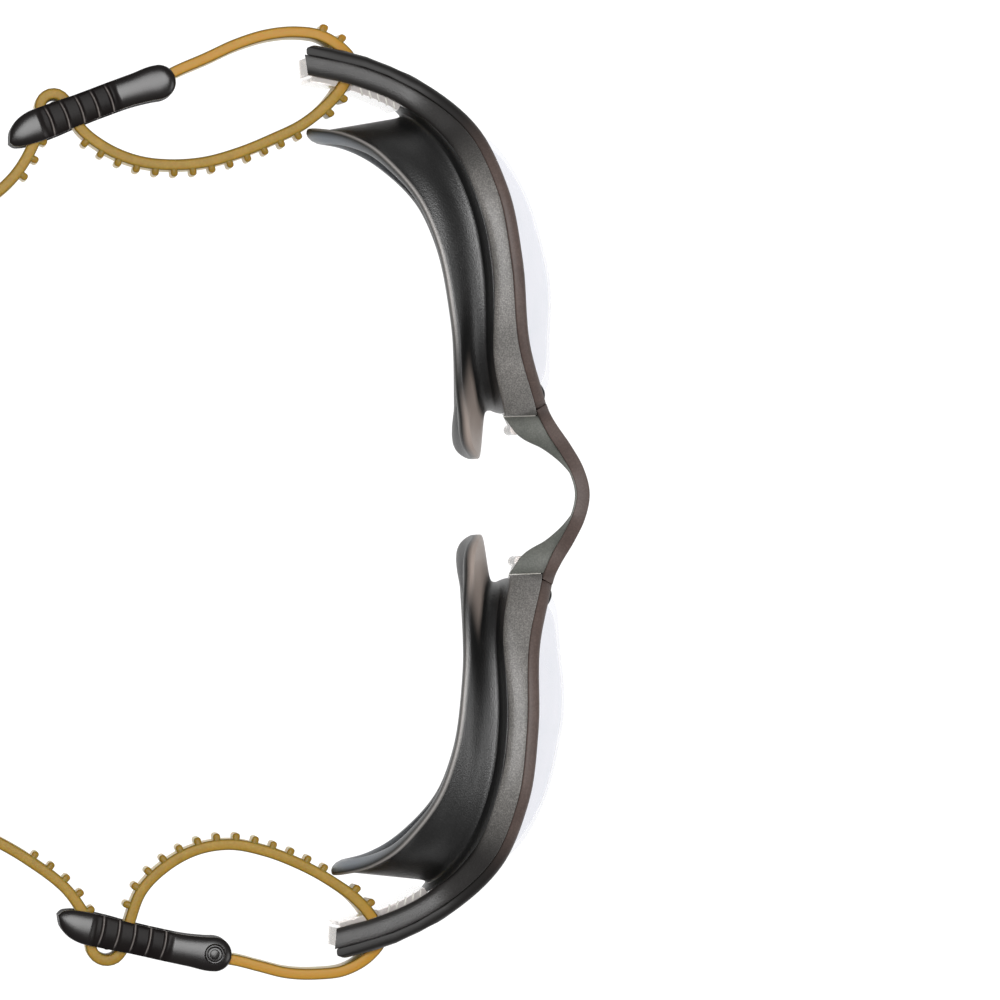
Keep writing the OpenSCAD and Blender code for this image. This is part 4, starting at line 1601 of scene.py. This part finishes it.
@dataclass
class Strap:
    """The one rubber strap, cut where it passes from body to body."""

    width: float = 11.0
    thick: float = 1.9
    stud_h: float = 1.05
    stud_w: float = 1.15
    stud_step: float = 3.08
    edge: float = 0.42
    spacing: float = 0.7
    run_y: float = 60.0
    tail_y: float = 108.0
    band_gap: float = 7.0
    band_from: float = 68.0
    band_to: float = 29.0
    heights: tuple[Curve, list[float]] | None = None

    def __post_init__(self) -> None:
        """Lay out the whole way of the strap, from the left pin to the right pin."""
        left, right = LEFT_STRAP.points(), RIGHT_STRAP.points()
        head = [
            (EYE.x_tip - 31.4, STRAP_BACK - 37),
            (EYE.x_tip - 37.4, STRAP_BACK - 20),
            (EYE.x_tip - 53.4, STRAP_BACK - 5),
        ]
        far = [*head, (0.0, STRAP_BACK), *[(-x, y) for x, y in reversed(head)]]
        self.way = Way([*left, *far, *[(-x, y) for x, y in reversed(right)]])
        self.count = len([*left, *far, *right])

    def s_of(self, side: Side, index: int) -> float:
        """Find a given point of the strap's way.

        Args:
            side: The side of the strap.
            index: The point's number on that side.

        Returns:
            The length along the strap.
        """
        return self.way.at_point(index if side is Side.LEFT else self.count - 1 - index)

    def s_at_y(self, side: Side, y: float, after: int) -> float:
        """Find where the strap passes a distance behind the nose, on its way back.

        Args:
            side: The side of the strap.
            y: The distance.
            after: The number of the point to start from.

        Returns:
            The length along the strap.
        """
        s = self.s_of(side, after)
        step = 0.1 * side.value
        while self.way.place(s).y < y:
            s += step
        return s

    def bar(self, start: float, end: float, low: float | None = None, high: float | None = None) -> bmesh.types.BMesh:
        """Make a straight stretch of plain strap.

        Args:
            start: Where it starts along the strap.
            end: Where it ends.
            low: Its lower edge, or none for the strap's own.
            high: Its upper edge, or none for the strap's own.

        Returns:
            The stretch, with its long edges rounded.
        """
        t, z = self.thick / 2, self.width / 2
        low = -z if low is None else low
        high = z if high is None else high
        count = max(4, math.ceil((end - start) / self.spacing))
        sections = []
        for i in range(count + 1):
            s = mix(start, end, i / count)
            sections.append([Vector((s, -t, low)), Vector((s, t, low)), Vector((s, t, high)), Vector((s, -t, high))])
        bm = loft(sections)
        round_edges(bm, self.edge, segments=4, where=lambda m: start + 0.01 < m.x < end - 0.01)
        return bm

    def stud(self, s: float) -> bmesh.types.BMesh:
        """Make one cross rib of the strap, an upright peg with a rounded top and ends."""
        w, h, foot = self.stud_w / 2, self.stud_h, self.thick / 2
        half = self.width / 2 - 0.1
        outline = [(-w, -0.3), (-w, h - 0.5), (-0.9 * w, h - 0.27), (-0.62 * w, h - 0.08), (-0.22 * w, h)]
        outline += [(-a, o) for a, o in reversed(outline)]
        sections = []
        levels = ((half, 0.3), (half - 0.08, 0.13), (half - 0.25, 0.03), (half - 0.5, 0), (half - 1.0, 0), (0, 0))
        for z, inset in levels:
            shrink = 1 - inset / self.stud_w * 1.6
            sections.append([Vector((s + a * shrink, foot + o - (inset * (o > 0)), z)) for a, o in outline])
        below = [[Vector((v.x, v.y, -v.z)) for v in line] for line in reversed(sections[:-1])]
        return loft([*sections, *below])

    def studs(self, bm: bmesh.types.BMesh, spots: Iterable[float]) -> None:
        """Add ribs to a straight stretch of strap.

        Args:
            bm: The stretch.
            spots: Their lengths along the strap.
        """
        for s in spots:
            join(bm, self.stud(s))

    def mark_edges(self, bm: bmesh.types.BMesh) -> None:
        """Note on the straight strap where its long edges (painted shade), wide faces (painted light) and outer
        stretches (painted warmer) are.
        """
        bars = [self.s_of(side, SIDES[side].bar_index) for side in Side]

        def near(spot: Vector) -> tuple[float, float]:
            """How much a spot gets the painted light of the wide faces, and the painted shade of the long edges."""
            half = self.tall(spot)
            if spot.y > self.thick / 2 + 0.04:
                wide = ease((half - 0.35 - abs(spot.z)) / 0.5)
                return wide, 0.35 * (1 - wide)
            e = min(1.0, max(0.0, (abs(spot.z) - half + self.edge) / self.edge))
            return 1 - e, math.sin(math.pi * e)

        # Painted light: the wide faces are painted paler, for the light that shows through them
        mark(bm, "wide", lambda spot: near(spot)[0])
        # Painted shade: the long rounded edges are painted darker
        mark(bm, "rim", lambda spot: near(spot)[1])
        # The outer stretches are painted a warmer colour
        mark(bm, "outer_stretch", lambda spot: 1 - ease((min(spot.x - bars[0], bars[1] - spot.x) + 3) / 6))

    def tall(self, spot: Vector) -> float:
        """Half the height of the straight strap at a spot."""
        if self.heights and self.heights[1][0] <= spot.x <= self.heights[1][1]:
            return self.heights[0](self.way.place(spot.x).y)
        return self.width / 2

    def shape(self, name: str, bm: bmesh.types.BMesh, palette: Palette) -> bpy.types.Object:
        """Bend a straight stretch along its way, and finish it.

        Args:
            name: The piece's name.
            bm: The straight stretch, which is freed.
            palette: The finishes.

        Returns:
            The piece, not yet on a body.
        """
        self.mark_edges(bm)
        bend(bm, self.way)
        droop(bm)
        return finish_piece(name, bm, palette.strap)

    def spots(self, side: Side, first: int, last: int) -> list[float]:
        """Space the ribs of one side, without the one at the tip of the eye seal.

        Args:
            side: The side of the strap.
            first: The first rib, counted from the bar.
            last: The last rib.

        Returns:
            Their lengths along the strap.
        """
        start = self.s_of(side, SIDES[side].bar_index)
        return [start + side.value * (k + 0.5) * self.stud_step for k in range(first, last + 1) if k != 2]

    def build_side(self, side: Side, palette: Palette) -> None:
        """Build the pieces of the strap on one side."""
        way = SIDES[side]
        w = side.word
        cut = self.s_at_y(side, self.run_y, way.bar_index)
        turn = self.s_of(side, way.turn_index + 6)
        tail = self.s_at_y(side, self.tail_y, way.turn_index + 7)
        end = self.s_of(side, 0)
        front = self.bar(min(end, cut), max(end, cut))
        bar = self.s_of(side, way.bar_index)
        steps = math.floor(abs(cut - bar) / self.stud_step - 0.7)
        outer = [bar - side.value * (3.72 - 0.97 * k) * self.stud_step for k in range(way.outer_studs)]
        self.studs(front, [*outer, *self.spots(side, 0, steps)])
        obj = self.shape(f"{w}_strap_front", front, palette)
        self.eye(obj, way, side)
        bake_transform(obj)
        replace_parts(obj, f"{w}_strap_wrap", f"{w}_strap_end")
        run = self.bar(min(cut, turn), max(cut, turn))
        self.studs(run, self.spots(side, steps + 1, 15))
        obj = self.shape(f"{w}_strap_inner_run", run, palette)
        side.buckle_body
        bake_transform(obj)
        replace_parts(obj, f"{w}_strap_run")
        back = self.bar(min(turn, tail), max(turn, tail))
        self.studs(back, [turn + side.value * (4.4 + k * 3.2) for k in range(way.tail_studs)])
        obj = self.shape(f"{w}_strap_tail", back, palette)
        side.buckle_body
        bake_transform(obj)
        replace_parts(obj, f"{w}_strap_turn")

    def eye(self, obj: bpy.types.Object, way: StrapSide, side: Side) -> None:
        """Add the round eye at the end of the strap, which the buckle's pin passes.

        Args:
            obj: The front stretch of the strap.
            way: The way of this side.
            side: The side.
        """
        bm = bmesh.new()
        bm.from_mesh(obj.data)
        ring = turned([(1.1, -5.3), (2.2, -5.3), (2.2, 5.3), (1.1, 5.3)], 48)
        bmesh.ops.recalc_face_normals(ring, faces=ring.faces)
        round_edges(ring, 0.3, segments=3)
        bmesh.ops.translate(ring, vec=(*way.pin, 0), verts=ring.verts)
        droop(ring, whole=True)
        if side is Side.RIGHT:
            bmesh.ops.scale(ring, vec=(-1, 1, 1), verts=ring.verts)
        bmesh.ops.scale(ring, vec=(MM, MM, MM), verts=ring.verts)
        bmesh.ops.recalc_face_normals(ring, faces=ring.faces)
        join(bm, ring)
        bm.to_mesh(obj.data)
        bm.free()
        obj.data.shade_smooth()
        obj.data.set_sharp_from_angle(angle=math.radians(38))

    def head(self, palette: Palette) -> bpy.types.Object:
        """Build the strap behind the buckles, which parts into two bands over the head."""
        starts = [self.s_at_y(side, self.tail_y, SIDES[side].turn_index + 7) for side in Side]
        part = STRAP_BACK - self.band_from
        wide = STRAP_BACK - self.band_to
        z = self.width / 2
        level = [(wide - 14, HALF_BAND - 0.8), (wide, HALF_BAND), (wide + 40, HALF_BAND)]
        high = Curve([(part - 8, z), (part + 12, z + 1.2), *level])
        low = Curve(
            [
                (part, 0), (part + 1.2, 0.9), (part + 10, 1.5), (wide - 14, self.band_gap / 2 - 0.6),
                (wide, self.band_gap / 2), (wide + 40, self.band_gap / 2),
            ]
        )
        splits = [self.s_at_y(side, part, SIDES[side].turn_index + 7) for side in Side]
        t = self.thick / 2
        bm = bmesh.new()
        for from_s, to_s, layers in (
            (starts[0], splits[0], 0),
            (splits[0], splits[1], 1),
            (splits[0], splits[1], -1),
            (splits[1], starts[1], 0),
        ):
            count = math.ceil((to_s - from_s) / 0.9)
            sections = []
            for i in range(count + 1):
                s = mix(from_s, to_s, i / count)
                y = self.way.place(s).y
                top, mid = high(y), low(y) if i not in (0, count) else 0.0
                if layers == 0:
                    corners = [(-t, -top), (t, -top), (t, 0), (t, top), (-t, top), (-t, 0)]
                else:
                    corners = [(-t, mid), (t, mid), (t, top), (-t, top)]
                    corners = [(a, layers * b) for a, b in corners]
                sections.append([Vector((s, a, b)) for a, b in corners])
            rows = len(sections[0])
            join(bm, grid(count, rows, lambda i, j: sections[i][j % rows]))
        bmesh.ops.remove_doubles(bm, verts=bm.verts, dist=1e-3)
        bmesh.ops.holes_fill(bm, edges=[e for e in bm.edges if e.is_boundary], sides=0)
        bmesh.ops.recalc_face_normals(bm, faces=bm.faces)
        inside = (starts[0] + 0.01, starts[1] - 0.01)
        round_edges(bm, 0.4, segments=3, where=lambda m: inside[0] < m.x < inside[1])
        self.heights = (high, starts)
        obj = self.shape("head_strap_bands", bm, palette)
        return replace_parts(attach(obj, BODY_STRAP), "head_strap")

    def build(self, palette: Palette) -> None:
        """Build the whole strap."""
        for side in Side:
            self.build_side(side, palette)
        self.head(palette)


@dataclass
class Buckle:
    """One slim side buckle: two domed cheeks, a turning bar, a spine and its pin."""

    side: Side
    cheek_z: float = 5.8
    cheek_t: float = 1.3
    post_r: float = 0.95
    turn_r: float = 0.9
    ribs: tuple[float, ...] = (8.9, 11.55, 14.25, 16.95, 19.7)
    rib_h: float = 0.4
    rib_w: float = 0.22
    rib_bow: float = 0.35
    sink: float = 0.24
    grip_from: float = 6.9
    grip_to: float = 21.6
    inner_edge: tuple[Pair, ...] = (
        (-2.9, 0), (-2.7, -1.1), (-2.05, -2.05), (-1.1, -2.7), (0, -2.9), (2, -2.6), (5, -2.25),
        (10, -2.15), (15, -2.25), (20, -2.5), (23.5, -2.45), (25.7, -2.15), (26.9, -1.65), (27.4, -0.9),
    )
    outer_edge: tuple[Pair, ...] = (
        (-2.9, 0), (-2.7, 1.1), (-2.05, 2.05), (-1.1, 2.7), (0, 2.95), (4, 2.95), (8, 2.95), (14, 2.9),
        (20, 3.0), (23, 2.9), (25, 2.25), (26.5, 1.1), (27.4, -0.9),
    )

    @property
    def flipped(self) -> bool:
        """Whether the pin's head shows on the underside."""
        return self.side is Side.LEFT

    def cheek(self) -> bmesh.types.BMesh:
        """Make the upper cheek, drawn about the pin with its length along Y."""
        inner, outer = Curve(self.inner_edge), Curve(self.outer_edge)
        start, end = self.inner_edge[0][0], self.inner_edge[-1][0]
        marks = [start + 0.02, start + 0.1, start + 0.3, start + 0.6]
        y = start + 0.8
        while y < end - 1.4:
            marks.append(y)
            y += 0.09 if 6.5 < y < 22 else 0.22
        marks += [end - 1.2, end - 0.8, end - 0.5, end - 0.25, end - 0.1, end - 0.02]
        across = 22
        sections = []
        for y in marks:
            low, high = inner(y), outer(y)
            line = []
            for k in range(across + 1):
                u = -math.cos(math.pi * k / across)
                x = mix(low, high, (u + 1) / 2)
                end_fall = min(1.0, (end - y) / 4.5, (y - start) / 1.6)
                crown = self.cheek_t * (0.42 + 0.58 * math.sqrt(max(0.0, 1 - u * u)))
                crown *= 0.45 + 0.55 * math.sqrt(max(0.0, 1 - (1 - end_fall) ** 2))
                grip = self.grip(y)
                flat = 1 - abs(u) ** 4
                crown -= self.sink * grip * flat
                bow = self.rib_bow * (1 - u * u)
                crown += self.rib_h * grip * flat * sum(bump(y + bow - r, self.rib_w) for r in self.ribs)
                line.append(Vector((x, y, self.cheek_z + max(crown, 0.3))))
            under = [Vector((v.x, v.y, self.cheek_z)) for v in reversed(line)]
            sections.append([*line, *under])
        return loft(sections)

    def grip(self, y: float) -> float:
        """How much a spot y along the buckle belongs to the sunk grip field."""
        return ease((y - self.grip_from) / 1.2) * ease((self.grip_to - y) / 1.2)

    def mark_sunk(self, bm: bmesh.types.BMesh) -> None:
        """Note where the matt field between the grip ribs lies, and the crests of the ribs, which get a painted
        highlight.
        """
        half = 2.8

        def ribbed(spot: Vector, ahead: float, width: float) -> float:
            """How near a spot is to a rib's crest."""
            bow = self.rib_bow * (1 - (spot.x / half) ** 2)
            return min(1.0, sum(bump(spot.y + bow - r - ahead, width) for r in self.ribs))

        mark(bm, "sunk", lambda spot: self.grip(spot.y) * (1 - ribbed(spot, 0.0, 0.17)))
        # Painted highlight along the crests of the grip ribs
        mark(
            bm,
            "crest",
            lambda spot: self.grip(spot.y) * ribbed(spot, 0.08, 0.1) * ease((1 - abs(spot.x) / half) / 0.4),
        )

    def boss(self) -> bmesh.types.BMesh:
        """Make the raised ring round the pin, on the side where the pin's end shows."""
        top = self.cheek_z + self.cheek_t
        profile = [(1.1, -0.5), (1.1, 0.0), (1.22, 0.12), (1.45, 0.16), (1.68, 0.1), (1.8, -0.06), (1.85, -0.5)]
        bm = turned([(r, top + z) for r, z in profile], 56)
        if self.flipped:
            bmesh.ops.scale(bm, vec=(1, 1, -1), verts=bm.verts)
        return bm

    def place(self, bm: bmesh.types.BMesh, way: StrapSide) -> None:
        """Turn a mesh drawn about the pin into its place.

        Args:
            bm: The mesh.
            way: The strap's way on this side.
        """
        turn = Matrix.Rotation(math.radians(way.angle), 4, "Z")
        bmesh.ops.transform(bm, matrix=turn, verts=bm.verts)
        bmesh.ops.translate(bm, vec=(*way.pin, 0), verts=bm.verts)
        droop(bm, whole=True)

    def build(self, palette: Palette) -> None:
        """Build the buckle and its pin."""
        way = SIDES[self.side]
        body, lower = self.cheek(), self.cheek()
        bmesh.ops.scale(lower, vec=(1, 1, -1), verts=lower.verts)
        bmesh.ops.reverse_faces(lower, faces=lower.faces)
        join(body, lower)
        join(body, self.boss())
        z = self.cheek_z + 0.2
        join(body, rod(self.turn_r, -z, z, (TURN_T, TURN_S), 0.1))
        join(
            body,
            box_at((-1.4, TURN_S - self.turn_r * 0.7, -z), (TURN_T, TURN_S + self.turn_r * 0.7, z), 0.3),
        )
        join(body, box_at((0.9, 4.6, -z), (2.4, 11, z), 0.4))
        self.mark_sunk(body)
        self.place(body, way)
        w = self.side.word
        obj = finish_piece(f"{w}_buckle_body", body, palette.buckle, self.side, sharp=42)
        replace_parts(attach(obj, self.side.buckle_body), f"{w}_buckle")
        reach = self.cheek_z + self.cheek_t
        if self.flipped:
            pin = rod(self.post_r, -reach - 0.04, reach - 0.35, (0, 0), 0.25)
        else:
            pin = rod(self.post_r, -reach + 0.35, reach + 0.04, (0, 0), 0.25)
        self.place(pin, way)
        obj = finish_piece(f"{w}_pin_post", pin, palette.pin, self.side)
        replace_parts(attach(obj, self.side.buckle_body), f"{w}_buckle_pin")


# ---------------------------------------------------------------- the studio


def seen_directly(tree: bpy.types.NodeTree, *others: str) -> bpy.types.NodeSocket:
    """Tell camera and transmission rays from the rest.

    Args:
        tree: The node tree.
        others: Further kinds of ray that count.

    Returns:
        A socket that is 1 for these rays and 0 for others.
    """
    path = add_node(tree, "ShaderNodeLightPath")
    total = path.outputs["Is Camera Ray"]
    for kind in ("Is Transmission Ray", *others):
        total = add_node(
            tree, "ShaderNodeMath", {"operation": "MAXIMUM"}, i0=total, i1=path.outputs[kind]
        ).outputs["Value"]
    return total


@dataclass(frozen=True)
class Studio:
    """A pale floor, soft light from above, and the photograph's camera.

    The floor lies below the lowest point that the strap reaches when it swings down.
    """

    floor_z: float = -0.048
    eye: tuple[float, float, float] = (-0.006, 0.285, 2.166)
    aim: tuple[float, float, float] = (-0.0007, 0.0125, 0.006)
    up: tuple[float, float, float] = (0.99943, -0.03386, 0.0)
    view_mm: float = 170.0

    def floor(self) -> None:
        """Lay a pale floor that stays white in view and keeps the shadow."""
        bm = bmesh.new()
        bmesh.ops.create_grid(bm, x_segments=1, y_segments=1, size=3.0)
        bmesh.ops.translate(bm, vec=(0, 0, self.floor_z), verts=bm.verts)
        mesh = bpy.data.meshes.new("floor")
        bm.to_mesh(mesh)
        bm.free()
        material = bpy.data.materials.new("matt_white_paper")
        material.use_nodes = True
        tree = material.node_tree
        tree.nodes.clear()
        paper = add_node(tree, "ShaderNodeBsdfDiffuse", {"Color": colour("#f4f4f4")})
        glow = add_node(tree, "ShaderNodeEmission", {"Color": colour("#ffffff"), "Strength": 1.2})
        share = add_node(
            tree,
            "ShaderNodeMapRange",
            {"To Min": 0.4, "To Max": 0.8},
            Value=seen_directly(tree, "Is Glossy Ray"),
        )
        shader = add_node(
            tree,
            "ShaderNodeMixShader",
            None,
            i0=share.outputs["Result"],
            i1=paper.outputs["BSDF"],
            i2=glow.outputs["Emission"],
        )
        add_node(tree, "ShaderNodeOutputMaterial", None, Surface=shader.outputs["Shader"])
        mesh.materials.append(material)
        obj = add_object("floor", mesh)

    def world(self) -> None:
        """Fill the room with plain pale light, white where it is seen."""
        world = bpy.data.worlds.new("pale_room")
        bpy.context.scene.world = world
        world.use_nodes = True
        tree = world.node_tree
        tree.nodes.clear()
        room = add_node(tree, "ShaderNodeBackground", {"Color": colour("#ffffff"), "Strength": 0.2})
        seen = add_node(tree, "ShaderNodeBackground", {"Color": colour("#ffffff"), "Strength": 1.0})
        shader = add_node(
            tree,
            "ShaderNodeMixShader",
            None,
            i0=seen_directly(tree),
            i1=room.outputs["Background"],
            i2=seen.outputs["Background"],
        )
        add_node(tree, "ShaderNodeOutputWorld", None, Surface=shader.outputs["Shader"])

    def lamp(self, name: str, spot: Sequence[float], size: float, watts: float) -> None:
        """Hang one square soft lamp that faces the goggles.

        Args:
            name: Its name.
            spot: Its place in metres.
            size: Its side in metres.
            watts: Its power.
        """
        light = bpy.data.lights.new(name, "AREA")
        light.shape = "SQUARE"
        light.size = size
        light.energy = watts
        obj = add_object(name, light)
        obj.location = spot
        obj.rotation_euler = (Vector(self.aim) - Vector(spot)).to_track_quat("-Z", "Y").to_euler()

    def camera(self) -> None:
        """Set the camera at the photograph's angle."""
        eye, aim = Vector(self.eye), Vector(self.aim)
        back = (eye - aim).normalized()
        right = Vector(self.up).cross(back).normalized()
        up = back.cross(right)
        data = bpy.data.cameras.new("photo_camera")
        data.angle = 2 * math.atan(self.view_mm * MM / 2 / (eye - aim).length)
        data.clip_end = 20
        obj = add_object("photo_camera", data)
        obj.matrix_world = Matrix.Translation(eye) @ Matrix((right, up, back)).transposed().to_4x4()
        bpy.context.scene.camera = obj

    def build(self) -> None:
        """Set up the floor, the light, the camera and the plain view."""
        self.floor()
        self.world()
        self.lamp("key_lamp", (0.15, 0.2, 1.2), 0.6, 15.0)
        self.lamp("fill_lamp", (-0.35, -0.85, 1.0), 0.7, 6.0)
        self.camera()
        bpy.context.scene.view_settings.view_transform = "Standard"


def main() -> None:
    """Build the goggles and the studio."""
    logging.basicConfig(level=logging.INFO, format="%(message)s", stream=sys.stdout)
    palette = Palette()
    for side in Side:
        EyeFrame(side).build(palette)
        EyeSeal(side).build(palette)
    NoseBridge().build(palette)
    Strap().build(palette)
    for side in Side:
        Buckle(side).build(palette)
    Studio().build()


if __name__ == "__main__":
    main()
